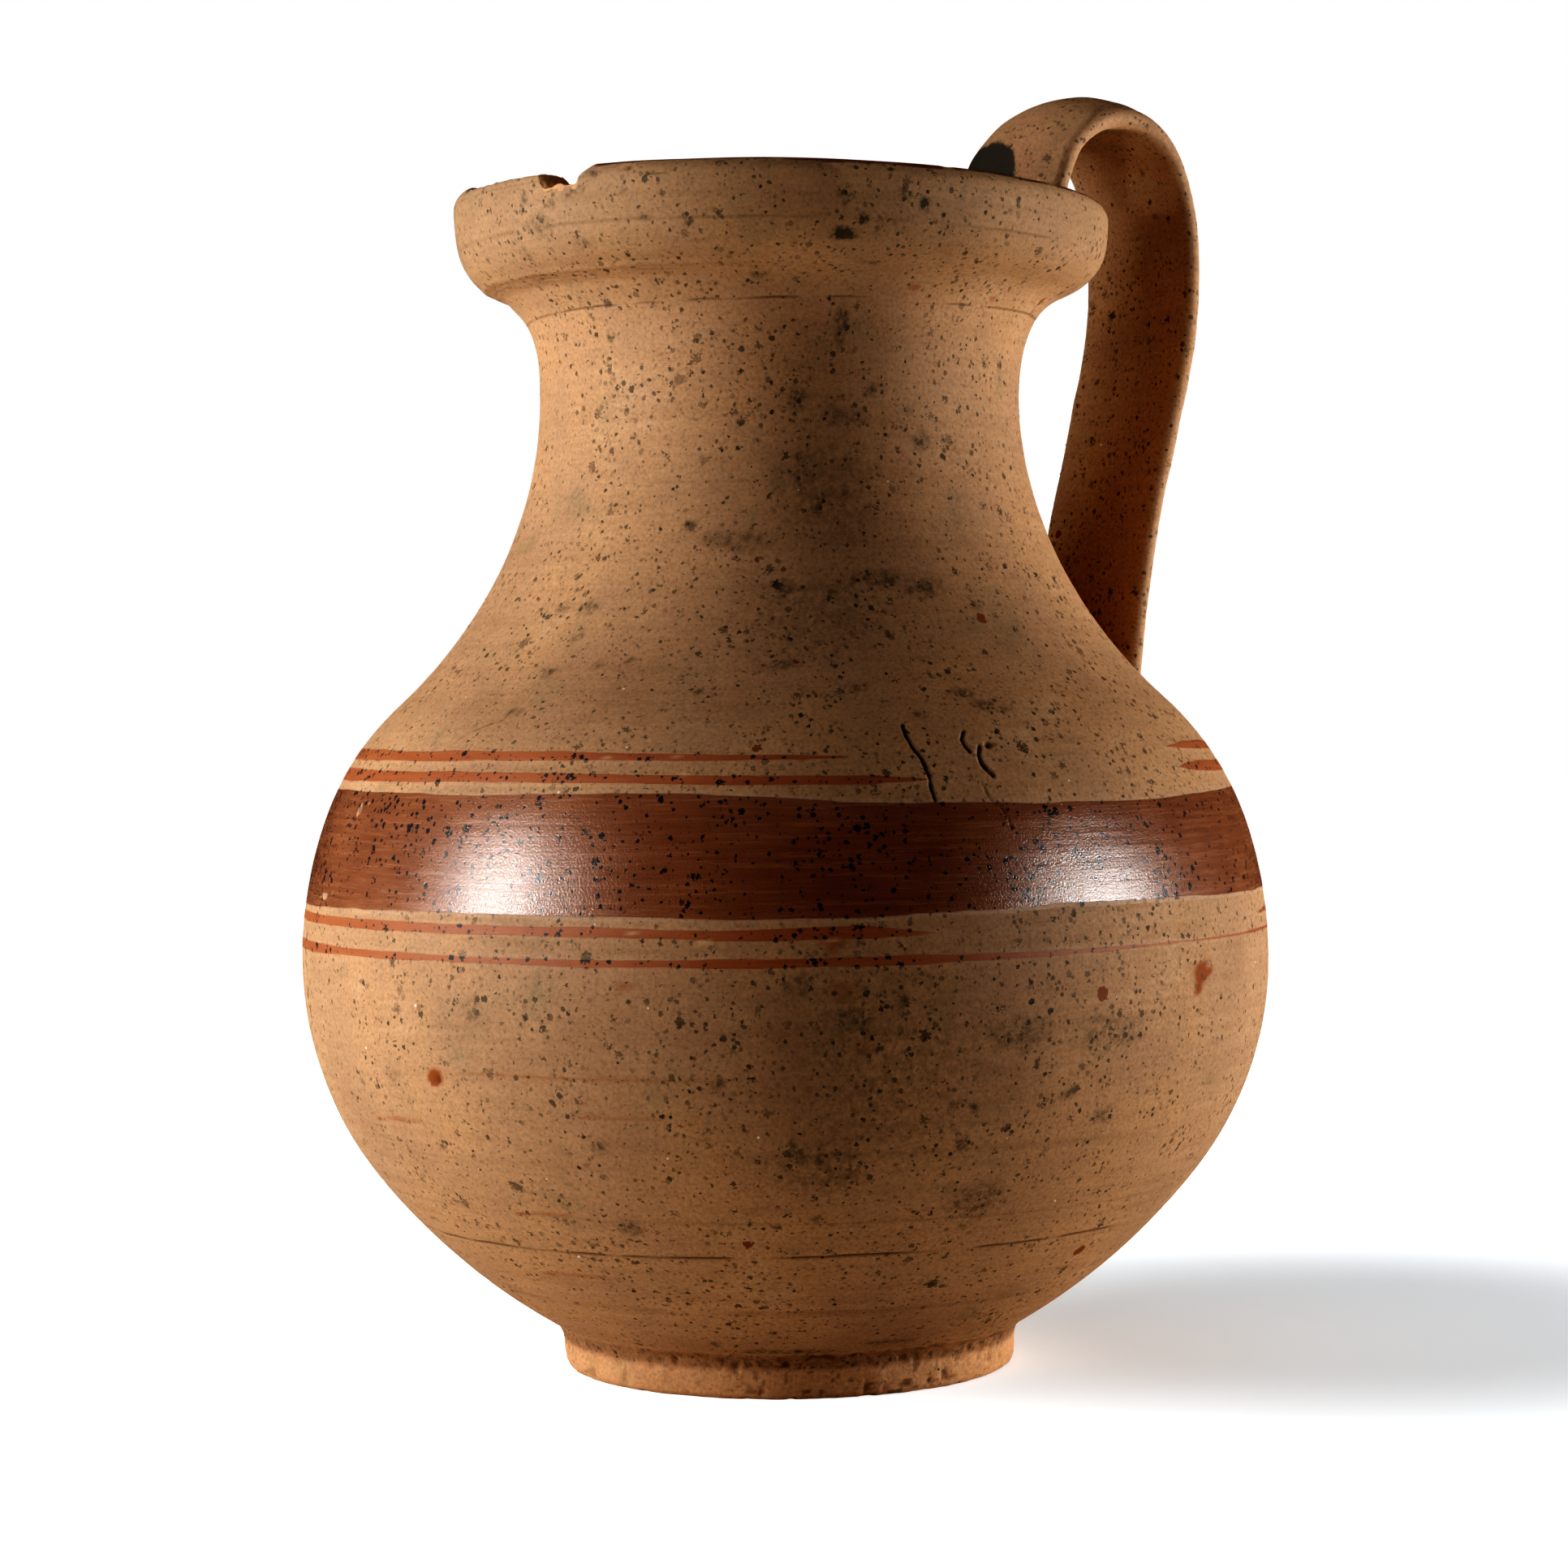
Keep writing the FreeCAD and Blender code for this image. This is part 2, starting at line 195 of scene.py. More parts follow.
def chained(edges, start):
    """Points of joined edges in order, from the start."""
    beside = {}
    for edge in edges:
        one, other = edge
        beside.setdefault(one, []).append(other)
        beside.setdefault(other, []).append(one)
    chain = [start]
    last = None
    while True:
        onward = [point for point in beside[chain[-1]] if point != last]
        last = chain[-1]
        if not onward or onward[0] == start:
            return chain
        chain.append(onward[0])


def jug_section():
    """The whole thrown jug's outline: from the middle of the floor's underside up the outside, over
    the lip and down the inside to the floor. Also which node each stretch of it belongs to."""
    corners, outlines = [], {}

    def same_corner(point):
        for known in corners:
            if math.dist(known, point) < corner_slack:
                return known
        corners.append(point)
        return point

    for name in turned_nodes:
        edges = turned_edges(name)
        outlines[name] = {frozenset(same_corner(point) for point in pair) for pair in edges}
    for below, above in zip(turned_nodes[:-1], turned_nodes[1:]):
        shared = set().union(*outlines[below]) & set().union(*outlines[above])
        first, last = max(product(shared, repeat=2), key=lambda pair: math.dist(*pair))

        def on_joint(point):
            round_it = math.dist(first, point) + math.dist(point, last)
            return round_it < math.dist(first, last) + joint_slack

        for name in (below, above):
            outlines[name] = {pair for pair in outlines[name] if not all(map(on_joint, pair))}
    skin = {pair: name for name, pairs in outlines.items() for pair in pairs if len(pair) == 2}
    ends = [point for point in corners if sum(point in key for key in skin) == 1]
    chain = chained(skin, min(ends, key=lambda point: point[1]))
    points = [(0.0, chain[0][1])] + chain + [(0.0, chain[-1][1])]
    section = Section(points)
    names = [skin[frozenset(pair)] for pair in zip(chain[:-1], chain[1:])]
    names = [names[0]] + names + [names[-1]]
    stretches = []
    for k, name in enumerate(names):
        begin, finish = section.travelled[k], section.travelled[k + 1]
        if stretches and stretches[-1][2] == name:
            stretches[-1][1] = finish
        else:
            stretches.append([begin, finish, name])
    return section, stretches


section, stretches = jug_section()
lip_top = section.points[:, 1].max()
outside_end = section.travelled[np.argmax(section.points[:, 1])]
outside_s = np.linspace(0.0, outside_end, 1500)
outside_places, _ = section.at(outside_s)
outside_heights = np.maximum.accumulate(outside_places[:, 1]) + np.arange(1500) * 1e-9


def travelled_to(height):
    """Distance along the outside to a height."""
    return np.interp(height, outside_heights, outside_s)


def spaced(low, high, step, fine=()):
    """Values from low to high, a step apart, and closer in and near each fine (from, to, step)."""
    made = [low]
    while made[-1] < high - 1e-6:
        here = made[-1]
        size = step
        for begin, finish, small in fine:
            away = max(begin - here, here - finish, 0.0)
            size = min(size, small + 0.3 * away)
        made.append(min(high, here + size * 1.0))
    if len(made) > 2 and made[-1] - made[-2] < 0.4 * (made[-2] - made[-3]):
        del made[-2]
    return np.array(made)


# Cracks and long scratches: half width, depth, and points of (bearing, height)
cracks = (
    (0.34, 0.55, ((248.9, 126.3), (249.0, 124.6), (249.4, 122.6), (250.3, 120.4), (250.6, 118.6))),
    (0.26, 0.40, ((250.6, 118.6), (250.8, 117.2), (250.7, 115.4), (251.0, 113.0))),
    (0.30, 0.40, ((256.9, 125.0), (256.2, 123.6), (256.4, 122.4), (256.8, 121.4))),
    (0.30, 0.45, ((258.3, 122.3), (257.8, 120.6), (257.9, 119.2), (258.5, 117.9), (259.0, 117.1))),
    (0.16, 0.18, ((257.3, 116.0), (257.6, 113.8), (258.1, 112.5), (258.8, 111.9), (259.6, 109.8),
                  (259.8, 108.2))),
    (0.14, 0.16, ((185.9, 124.3), (188.6, 126.3), (191.2, 127.6), (193.2, 128.2), (192.6, 130.6))),
    (0.17, 0.20, ((195.4, 222.8), (197.0, 223.1), (199.2, 223.5))),
    (0.13, 0.14, ((203.6, 223.4), (205.6, 223.2), (208.0, 222.6))),
    (0.16, 0.18, ((211.0, 225.7), (214.3, 225.6))),
    (0.14, 0.16, ((274.6, 179.1), (276.6, 177.6), (279.5, 175.0), (283.8, 171.2))),
)
# Lines left by the tool as the jug turned: height, half width, depth, how far it tilts and the
# bearing of its high side, and the bearings between which it shows
tool_lines = (
    (31.3, 0.32, 0.26, 0.75, 320.0, 0.0, 360.0),
    (205.4, 0.20, 0.20, 0.1, 0.0, 20.0, 256.0),
    (204.4, 0.20, 0.19, 1.0, 340.0, 252.0, 350.0),
    (207.6, 0.18, 0.10, 0.5, 270.0, 256.0, 276.0),
    (52.0, 0.30, 0.05, 0.5, 100.0, 60.0, 290.0),
    (38.6, 0.30, 0.07, 0.4, 80.0, 120.0, 330.0),
    (19.5, 0.30, 0.08, 0.3, 10.0, 0.0, 360.0),
    (74.0, 0.35, 0.03, 0.6, 30.0, 150.0, 350.0),
    (210.9, 0.20, 0.10, 0.6, 60.0, 140.0, 222.0),
    (217.6, 0.28, 0.10, 0.5, 200.0, 150.0, 300.0),
    (226.0, 0.16, 0.08, 0.2, 40.0, 140.0, 215.0),
    (221.6, 0.20, 0.04, 0.4, 260.0, 170.0, 330.0),
    (137.5, 0.35, 0.04, 0.7, 250.0, 120.0, 330.0),
    (151.0, 0.35, 0.03, 0.8, 180.0, 120.0, 330.0),
)
line_fade = 12.0  # each line fades in and out over this many degrees
# Swells and hollows that run round the collar: height, half width, rise, and the rest as for the
# tool lines
swells = (
    (212.0, 0.9, 0.24, 0.75, 60.0, 125.0, 275.0),
    (209.9, 1.5, -0.30, 0.75, 60.0, 120.0, 275.0),
)
swell_begins, swell_ends = 20.0, 60.0  # each swell rises and sinks over these many degrees
# Pits: bearing, height, radius, depth
pits = (
    (266.8, 88.5, 0.75, 0.45),
    (190.9, 63.3, 1.0, 0.35),
    (259.6, 122.6, 0.9, 0.5),
    (251.5, 227.0, 0.5, 0.3),
    (170.2, 111.4, 0.9, 0.12),
    (207.6, 227.0, 0.8, 0.3),
    (311.0, 60.0, 0.6, 0.3),
)
# Breaks in the lip: bearing, width along it, depth, how steep its sides are, key of its roughness
lip_breaks = (
    (194.3, 14.5, 3.9, 0.42, 3),
    (198.6, 5.6, 1.25, 0.25, 4),
    (177.6, 29.5, 1.3, 0.85, 5),
    (163.6, 5.5, 1.3, 0.3, 6),
    (168.5, 4.5, 0.9, 0.3, 7),
    (41.0, 3.6, 0.5, 0.4, 8),
    (262.0, 2.6, 0.22, 0.3, 9),
    (286.0, 3.2, 0.2, 0.3, 10),
)
# A dark, soft-edged patch on the strap's root just over the lip: its middle, half width and half height
dark_patch_middle = (62.5, 8.0, 237.0)
dark_patch_half_width = 13.5
dark_patch_half_height = 9.5
# Smudges of soot and crowded grit: bearing, height, half width, half height and how dark
smudges = (
    (188.4, 218.6, 3.6, 1.9, 0.45), (185.0, 223.0, 1.2, 1.0, 0.5), (197.5, 214.8, 2.2, 1.1, 0.45),
    (182.0, 214.5, 1.6, 1.2, 0.4), (229.0, 209.0, 1.8, 1.0, 0.45), (201.0, 226.3, 1.8, 0.7, 0.6),
    (250.0, 211.0, 2.4, 0.7, 0.45), (197.0, 223.8, 1.0, 0.8, 0.7), (192.0, 221.5, 1.0, 0.9, 0.5),
    (244.0, 215.3, 2.2, 1.4, 1.4), (244.0, 221.7, 1.3, 1.3, 0.8), (257.5, 221.0, 1.2, 1.1, 1.3),
    (210.0, 218.3, 1.2, 0.8, 0.7), (247.0, 218.0, 1.0, 1.0, 1.3),
    (218.0, 217.0, 0.8, 0.6, 0.8), (191.5, 200.0, 1.0, 1.0, 0.7), (219.0, 198.7, 1.0, 0.8, 0.6),
    (247.0, 200.5, 1.4, 4.2, 0.55), (237.5, 187.0, 2.0, 2.2, 0.6), (255.0, 188.5, 1.3, 1.1, 0.6),
    (247.5, 183.5, 4.2, 1.9, 0.45), (237.5, 174.0, 1.4, 4.8, 0.45), (266.5, 179.0, 1.8, 1.9, 0.6),
    (264.0, 185.0, 1.3, 1.0, 0.6), (224.5, 182.5, 1.3, 1.1, 0.6), (217.0, 176.0, 1.0, 0.8, 0.6),
    (214.5, 163.5, 1.5, 1.0, 0.7), (241.5, 167.5, 0.9, 1.0, 0.7), (224.0, 160.5, 6.6, 2.2, 0.4),
    (251.5, 153.0, 5.9, 2.1, 0.55), (260.0, 151.5, 4.2, 2.2, 0.6), (233.5, 151.5, 2.3, 2.6, 0.5),
    (197.5, 148.5, 2.5, 1.3, 0.6), (191.0, 148.5, 1.7, 1.3, 0.5), (197.5, 143.0, 1.3, 1.0, 0.6),
    (195.5, 136.5, 2.0, 1.1, 0.6), (204.5, 138.0, 1.1, 0.8, 0.6), (209.5, 138.5, 1.0, 1.0, 0.6),
    (233.5, 137.5, 4.0, 1.3, 0.5), (244.0, 133.0, 1.6, 1.3, 0.6), (259.0, 132.0, 3.1, 1.3, 0.55),
    (262.0, 129.5, 3.9, 1.9, 0.55), (194.0, 129.5, 1.8, 1.0, 0.5), (221.5, 132.5, 1.3, 1.1, 0.6),
    (251.5, 128.0, 1.5, 1.1, 0.5), (269.5, 148.5, 1.7, 1.1, 0.5), (242.5, 170.5, 9.4, 11.2, 0.25),
    (239.0, 146.0, 12.5, 9.6, 0.22), (225.5, 100.5, 0.9, 1.0, 0.8), (235.5, 102.0, 1.1, 1.0, 0.8),
    (258.5, 102.5, 1.5, 1.3, 0.8), (268.5, 109.5, 1.7, 1.3, 0.8), (261.5, 99.0, 1.1, 1.0, 0.8),
    (215.0, 106.5, 1.3, 1.3, 0.7), (211.5, 96.0, 1.2, 1.1, 0.7), (249.5, 95.0, 0.8, 0.8, 0.7),
    (235.0, 81.5, 1.9, 2.1, 0.45), (240.5, 76.0, 4.7, 2.4, 0.45), (246.0, 78.5, 1.0, 1.0, 0.7),
    (197.5, 76.0, 2.9, 3.2, 0.35), (211.5, 52.5, 1.7, 1.4, 0.7), (206.5, 52.0, 1.0, 0.8, 0.5),
    (234.5, 52.0, 2.5, 2.4, 0.55), (237.0, 51.0, 1.2, 1.6, 0.6), (253.5, 52.5, 1.5, 2.1, 0.55),
    (212.5, 37.0, 2.5, 1.9, 0.65), (257.5, 41.5, 5.8, 4.8, 0.4), (237.0, 39.0, 1.2, 1.1, 0.5),
    (257.0, 36.5, 1.2, 1.0, 0.5), (259.0, 72.0, 6.9, 3.2, 0.4), (271.0, 71.0, 7.8, 3.8, 0.35),
    (266.5, 61.0, 1.5, 1.3, 0.7), (272.5, 56.0, 1.8, 1.4, 0.6), (254.5, 59.0, 1.2, 1.1, 0.6),
    (226.0, 64.5, 0.9, 0.8, 0.7), (182.5, 63.0, 2.2, 1.6, 0.4), (245.0, 65.0, 17.4, 17.6, 0.22),
    (237.5, 49.0, 9.3, 6.4, 0.3), (255.0, 11.3, 5.0, 1.0, 0.6), (231.5, 9.8, 9.3, 1.3, 0.5),
    (20.0, 168.0, 14.0, 9.0, 0.3), (63.0, 151.0, 4.0, 2.0, 0.5), (95.0, 60.0, 16.0, 12.0, 0.3),
    (120.0, 140.0, 2.0, 1.4, 0.6), (140.0, 48.0, 5.0, 3.0, 0.4), (30.0, 44.0, 7.0, 4.0, 0.35),
)
# Iron in the clay that burned orange, in places drawn out by the wheel: written as the smudges are
rusts = (
    (190.5, 63.8, 1.75, 1.5, 2.2), (209.5, 65.0, 28.0, 0.5, 0.35), (181.0, 54.9, 7.1, 0.4, 0.6),
    (176.0, 54.3, 1.5, 0.5, 0.8), (210.0, 58.0, 1.0, 0.5, 0.8), (214.5, 58.1, 7.4, 0.5, 0.35),
    (197.0, 38.5, 1.7, 0.4, 0.7), (202.0, 39.0, 5.5, 0.4, 0.4), (193.5, 25.6, 2.0, 0.6, 0.8),
    (200.5, 26.1, 7.4, 0.8, 0.4), (287.0, 80.4, 2.9, 2.1, 1.5), (286.0, 78.0, 1.3, 1.9, 1.5),
    (238.5, 89.5, 2.8, 2.1, 0.7), (239.5, 80.8, 2.3, 1.9, 0.35), (216.5, 81.5, 1.5, 0.8, 0.6),
    (241.5, 71.0, 2.2, 1.3, 0.3), (70.0, 58.0, 9.0, 0.5, 0.4), (104.0, 70.0, 2.0, 1.4, 0.7),
    (34.0, 139.0, 6.0, 0.5, 0.35), (262.0, 207.4, 1.2, 0.7, 0.5), (285.0, 206.6, 1.1, 0.8, 0.5),
)
# Pale scuffs where the surface was knocked: written as the smudges are
scuffs = (
    (207.3, 227.3, 0.9, 0.6, 0.8), (220.2, 121.2, 0.7, 0.5, 0.9), (221.7, 118.3, 0.6, 0.5, 0.7),
    (211.6, 121.1, 0.5, 0.4, 0.6), (224.8, 89.3, 0.8, 0.5, 0.9), (226.5, 86.9, 0.5, 0.5, 0.7),
    (217.0, 90.7, 0.7, 0.4, 0.7), (208.9, 97.0, 0.5, 0.5, 0.6), (210.1, 92.4, 0.5, 0.4, 0.6),
    (229.6, 80.1, 0.6, 0.5, 0.7), (231.8, 78.6, 0.5, 0.4, 0.6), (238.5, 89.5, 0.7, 0.4, 0.6),
    (40.0, 97.0, 0.9, 0.6, 0.7), (88.0, 120.9, 0.8, 0.5, 0.8), (130.0, 72.0, 0.8, 0.7, 0.6),
)


def shortest_turn(bearing, other):
    """The turn from the other bearing to this one, from -180 to 180 degrees."""
    return np.mod(bearing - other + 180.0, 360.0) - 180.0


def across_from(bearing, other, radius):
    """How far round the jug a bearing lies from another one, in millimetres."""
    return np.radians(shortest_turn(bearing, other)) * radius


def soft_spots(table, bearing, travelled, radius, waver):
    """How strongly each place is stained by the soft-edged spots of a table."""
    stain = np.zeros(len(bearing))
    for turn, height, half_width, half_height, strength in table:
        across = across_from(bearing, turn, radius) / half_width
        away = np.hypot(across, (travelled - travelled_to(height)) / half_height) + 0.35 * waver
        stain = np.maximum(stain, strength * (1.0 - smooth_step(0.35, 1.4, away)))
    return stain


def away_from_line(bearing, travelled, radius, line):
    """Distance over the surface from each point to a line of (bearing, height) points."""
    nearest = np.full(len(bearing), 1e3)
    first = line[0]
    across = across_from(bearing, first[0], radius)
    near = np.abs(across) < 45.0
    corners = []
    for turn, height in line:
        corners.append((math.radians(turn - first[0]), float(travelled_to(height))))
    for (turn_a, up_a), (turn_b, up_b) in zip(corners[:-1], corners[1:]):
        start = np.column_stack([turn_a * radius[near], np.full(near.sum(), up_a)])
        step = np.column_stack([(turn_b - turn_a) * radius[near], np.full(near.sum(), up_b - up_a)])
        here = np.column_stack([across[near], travelled[near]]) - start
        part = np.clip((here * step).sum(1) / np.maximum((step * step).sum(1), 1e-9), 0.0, 1.0)
        nearest[near] = np.minimum(nearest[near], np.hypot(*(here - step * part[:, None]).T))
    return nearest


def marks(bearing, travelled, radius, height):
    """What cracks, tool lines, pits and stains do to the outside: its relief, how dark the dirt
    in it is, and how far soot and rust have stained it."""
    relief = np.zeros(len(bearing))
    dirt = np.zeros(len(bearing))
    round_places = round_axis(radius, np.radians(bearing), height)
    waver = rough(round_places, 5.0, 21)
    fine_waver = rough(round_places, 1.1, 22)

    def up_from_ring(middle, tilt, high_side):
        """How far up from a ring that tilts and wavers a little."""
        ring_height = middle + tilt * np.cos(np.radians(bearing - high_side)) + 0.12 * waver
        return travelled - travelled_to(ring_height)

    def between(shown, begin, finish, rises, sinks):
        """What shows of a ring that runs from one bearing to another, fading over some degrees."""
        inside = np.mod(bearing - begin, 360.0)
        span = finish - begin
        return shown * smooth_step(0.0, rises, inside) * (1.0 - smooth_step(span - sinks, span, inside))

    for half_width, depth, line in cracks:
        away = away_from_line(bearing, travelled, radius, line) + 0.10 * fine_waver
        cut = np.exp(-((np.maximum(away, 0.0) / half_width) ** 2))
        edge = np.exp(-(((away - 2.2 * half_width) / (1.3 * half_width)) ** 2))
        relief += 0.12 * depth * edge - depth * cut
        dirt = np.maximum(dirt, np.clip(1.25 * cut, 0.0, 1.0) * min(1.0, depth / 0.35))
    for middle, half_width, depth, tilt, high_side, begin, finish in tool_lines:
        away = up_from_ring(middle, tilt, high_side)
        shown = smooth_step(-0.75, 0.35, waver + 0.5 * rough(round_places, 17.0, 23))
        if finish - begin < 360.0:
            shown = between(shown, begin, finish, line_fade, line_fade)
        cut = np.exp(-((away / half_width) ** 2)) * shown
        relief -= depth * cut
        dirt = np.maximum(dirt, np.clip(cut * depth * 3.2, 0.0, 0.85))
    for middle, half_width, rise, tilt, high_side, begin, finish in swells:
        away = up_from_ring(middle, tilt, high_side)
        shown = between(1.0, begin, finish, swell_begins, swell_ends)
        relief += rise * np.exp(-((away / half_width) ** 2)) * shown
    for turn, pit_height, size, depth in pits:
        across = across_from(bearing, turn, radius)
        away = np.hypot(across, travelled - travelled_to(pit_height)) * (1.0 + 0.25 * fine_waver)
        bowl = 1.0 - smooth_step(0.35 * size, size, away)
        relief -= depth * bowl
        dirt = np.maximum(dirt, 0.7 * bowl)
    smudge = soft_spots(smudges, bearing, travelled, radius, fine_waver)
    rust = soft_spots(rusts, bearing, travelled, radius, fine_waver)
    scuff = soft_spots(scuffs, bearing, travelled, radius, fine_waver)
    return relief, dirt, smudge, rust, scuff


def broken_depth(bearing, radius, places):
    """How far each place of the lip has broken away, below its whole height."""
    lost = np.zeros(len(bearing))
    for turn, width, depth, steep, key in lip_breaks:
        across = across_from(bearing, turn, lip_radius) + 0.9 * rough(places, 2.6, key)
        part = np.abs(across) / (width / 2.0)
        bite = 1.0 - smooth_step(steep, 1.0, part)
        ragged = 1.0 + 0.16 * rough(places, 3.1, key + 20) + 0.10 * rough(places, 1.0, key + 40)
        slant = 1.0 + break_slant * (radius - lip_middle)
        lost = np.maximum(lost, depth * bite * ragged * slant)
    return lost


def thrown(travelled, bearing, lift=0.0, outside=True):
    """Places on the thrown jug, with what the hand, the tool and time did to the true section.
    Also what is known of each place: the way out of the clay, dirt, stains, fresh breaks, and a greyer
    tone over the collar that is partly painted shade."""
    true, out = section.at(travelled)
    radius, height = true[:, 0], true[:, 1]
    turn = np.radians(bearing)
    relief = np.zeros(len(turn))
    dirt, smudge, rust, scuff = np.zeros((4, len(turn)))
    if outside:
        relief, dirt, smudge, rust, scuff = marks(bearing, travelled, radius, height)
    flat = round_axis(radius, turn, height)
    lost = np.zeros(len(turn))
    near_lip = height > lip_top - break_reach
    if near_lip.any():
        lost[near_lip] = broken_depth(bearing[near_lip], radius[near_lip], flat[near_lip])
    worn = lumpy(flat, (0.10, 7.0, 31), (0.07, 2.2, 32))
    height_left = np.where(near_lip, lip_top - lost + np.where(lost > 0.15, worn, 0.0), height)
    paler_clay = np.where(near_lip, smooth_step(0.05, 0.35, height - height_left), 0.0)
    paler_clay = np.maximum(paler_clay, scuff)
    height = np.where(near_lip, np.minimum(height, height_left), height)
    grows = smooth_step(4.0, 60.0, height)
    swing = (
        0.55 * np.sin(2 * turn + 0.017 * height + 0.6)
        + 0.35 * np.sin(3 * turn - 0.013 * height + 2.1)
        + 0.20 * np.sin(5 * turn + 0.020 * height + 4.0)
    )
    lumps = lumpy(flat, (0.22, 31.0, 33), (0.09, 12.0, 34))
    lifted = relief + lift + grows * lumps * (1.0 if outside else 0.5)
    radius = radius + grows * wobble * swing + out[:, 0] * lifted
    height = height + out[:, 1] * lifted
    towards = radius * np.cos(turn - math.radians(lip_dip_bearing))
    side = math.radians(lip_shift_bearing)
    upper = smooth_step(186.0, 214.0, height)
    sinks = smooth_step(206.0, 226.0, height)
    places = round_axis(radius, turn, height - lip_dip * towards * sinks)
    places[:, 0] += lip_shift * upper * math.cos(side)
    places[:, 1] += lip_shift * upper * math.sin(side)
    ways = round_axis(out[:, 0], turn, out[:, 1])
    known = {"way_out": ways, "dirt": dirt, "paler_clay": paler_clay, "smudge": smudge, "rust": rust}
    known["grit_here"] = (1.0 - paler_clay) * (1.0 if outside else 0.0)
    # The collar is laid greyer and darker from 200 mm up: partly the clay's own olive tone, partly painted
    # shade on the top of the jug
    known["greyed_and_shaded"] = 0.16 * smooth_step(200.0, 212.0, true[:, 1]) * (1.0 if outside else 0.0)
    return places, known


def keep_values(mesh, values):
    """Stores named values and directions at the corners of a mesh, for its nodes to read."""
    for key, value in values.items():
        kind, field = ("FLOAT_VECTOR", "vector") if value.ndim == 2 else ("FLOAT", "value")
        mesh.attributes.new(key, kind, "POINT").data.foreach_set(field, value.ravel())


def turned_object(name, rows, closes, values):
    """A piece made of rings. Rows are arrays of places, columns are bearings. It closes end to end
    like a tyre, or its first and last rows close at the axis, or it stays an open skin."""
    count, columns = rows.shape[:2]
    places = rows.reshape(-1, 3)
    kept = np.arange(count * columns).reshape(count, columns)
    if closes == "axis":
        kept[0, :] = kept[0, 0]
        kept[-1, :] = kept[-1, 0]
    upper = np.roll(kept, -1, axis=0) if closes == "tyre" else kept[1:]
    lower = kept if closes == "tyre" else kept[:-1]
    quads = np.stack([lower, np.roll(lower, -1, axis=1), np.roll(upper, -1, axis=1), upper], axis=2)
    quads = quads.reshape(-1, 4)
    loops = []
    for quad in quads.tolist():
        face = list(dict.fromkeys(quad))
        if len(face) > 2:
            loops.append(face)
    used = sorted({corner for face in loops for corner in face})
    renumber = {corner: k for k, corner in enumerate(used)}
    mesh = bpy.data.meshes.new(name)
    mesh.from_pydata(
        (places[used] * MM).tolist(), [], [[renumber[corner] for corner in face] for face in loops]
    )
    mesh.polygons.foreach_set("use_smooth", np.ones(len(mesh.polygons), bool))
    keep_values(
        mesh, {key: value.reshape(-1, *value.shape[2:])[used] for key, value in values.items()}
    )
    mesh.update()
    made = bpy.data.objects.new(name, mesh)
    scene.collection.objects.link(made)
    return made


def ring_grid(travelled, bearings, lift=0.0, outside=True):
    """Every row and column of a turned surface at once, as arrays of rows by columns."""
    s, b = np.meshgrid(travelled, bearings, indexing="ij")
    if np.ndim(lift):
        lift = np.asarray(lift).ravel()
    places, known = thrown(s.ravel(), b.ravel(), lift, outside)
    known = {key: value.reshape(s.shape + value.shape[1:]) for key, value in known.items()}
    return places.reshape(*s.shape, 3), known


def stretch_of(name, outer):
    """Where a node's outside, or inside, begins and ends along the section."""
    found = [piece for piece in stretches if piece[2] == name and (piece[0] < outside_end) == outer]
    return found[0][0], found[-1][1]


# Bearings of a piece's columns, closer together where it is cracked or broken
body_bearings = spaced(0.0, 360.0, 1.12, [(247.5, 261.0, 0.2), (184.5, 194.0, 0.5)])[:-1]
collar_bearings = spaced(
    0.0, 360.0, 0.95, [(159.5, 202.5, 0.26), (258.0, 290.0, 0.5), (37.0, 45.0, 0.4)]
)[:-1]


def fine_rows(begin, finish, step, zones):
    """Rows of the outside, closer together between the heights of each zone (from, to, step)."""
    fine = [(float(travelled_to(low)), float(travelled_to(high)), small) for low, high, small in zones]
    return spaced(begin, finish, step, fine)


# Heights between which rows are closer together, and how close, for the marks that lie there
body_zones = (
    (24.5, 27.0, 0.45),
    (30.0, 32.6, 0.24),
    (37.8, 39.8, 0.45),
    (53.5, 58.8, 0.5),
    (62.5, 66.0, 0.5),
    (83.5, 108.0, 0.75),
    (108.0, 127.0, 0.36),
    (127.0, 131.0, 0.6),
    (170.0, 180.0, 0.8),
    (203.0, 208.6, 0.2),
    (208.6, 213.6, 0.32),
    (217.0, 218.2, 0.22),
    (225.0, 230.0, 0.26),
)


def thrown_piece(name, node):
    """One section of the thrown jug, from its node's two joints, as a closed piece of clay."""
    bearings = collar_bearings if node == "rim_collar" else body_bearings
    outer = stretch_of(node, True)
    blocks = [ring_grid(fine_rows(*outer, 1.15, body_zones), bearings)]
    if node == "rim_collar":
        inner = (outside_end, [piece for piece in stretches if piece[2] == node][-1][1])
        lip = outer[0], outside_end
        rows = fine_rows(*lip, 0.8, body_zones)
        inside_rows = spaced(*inner, 0.8, [(inner[0], inner[0] + 7.0, 0.26)])
        blocks = [ring_grid(rows, bearings), ring_grid(inside_rows[1:], bearings)]
    else:
        inner = stretch_of(node, False)
        blocks.append(ring_grid(spaced(*inner, 2.4), bearings, 0.0, False))
    places = np.concatenate([block for block, _ in blocks])
    known = {key: np.concatenate([values[key] for _, values in blocks]) for key in blocks[0][1]}
    made = turned_object(name, places, "axis" if node == "lower_bowl" else "tyre", known)
    upper_joint = [len(blocks[0][0]) - 1, len(blocks[0][0])]
    lower_joint = [0, len(places) - 1]
    rings = {"lower_bowl": upper_joint, "rim_collar": lower_joint}
    crease_rings(made, rings.get(node, upper_joint + lower_joint), places)
    return made


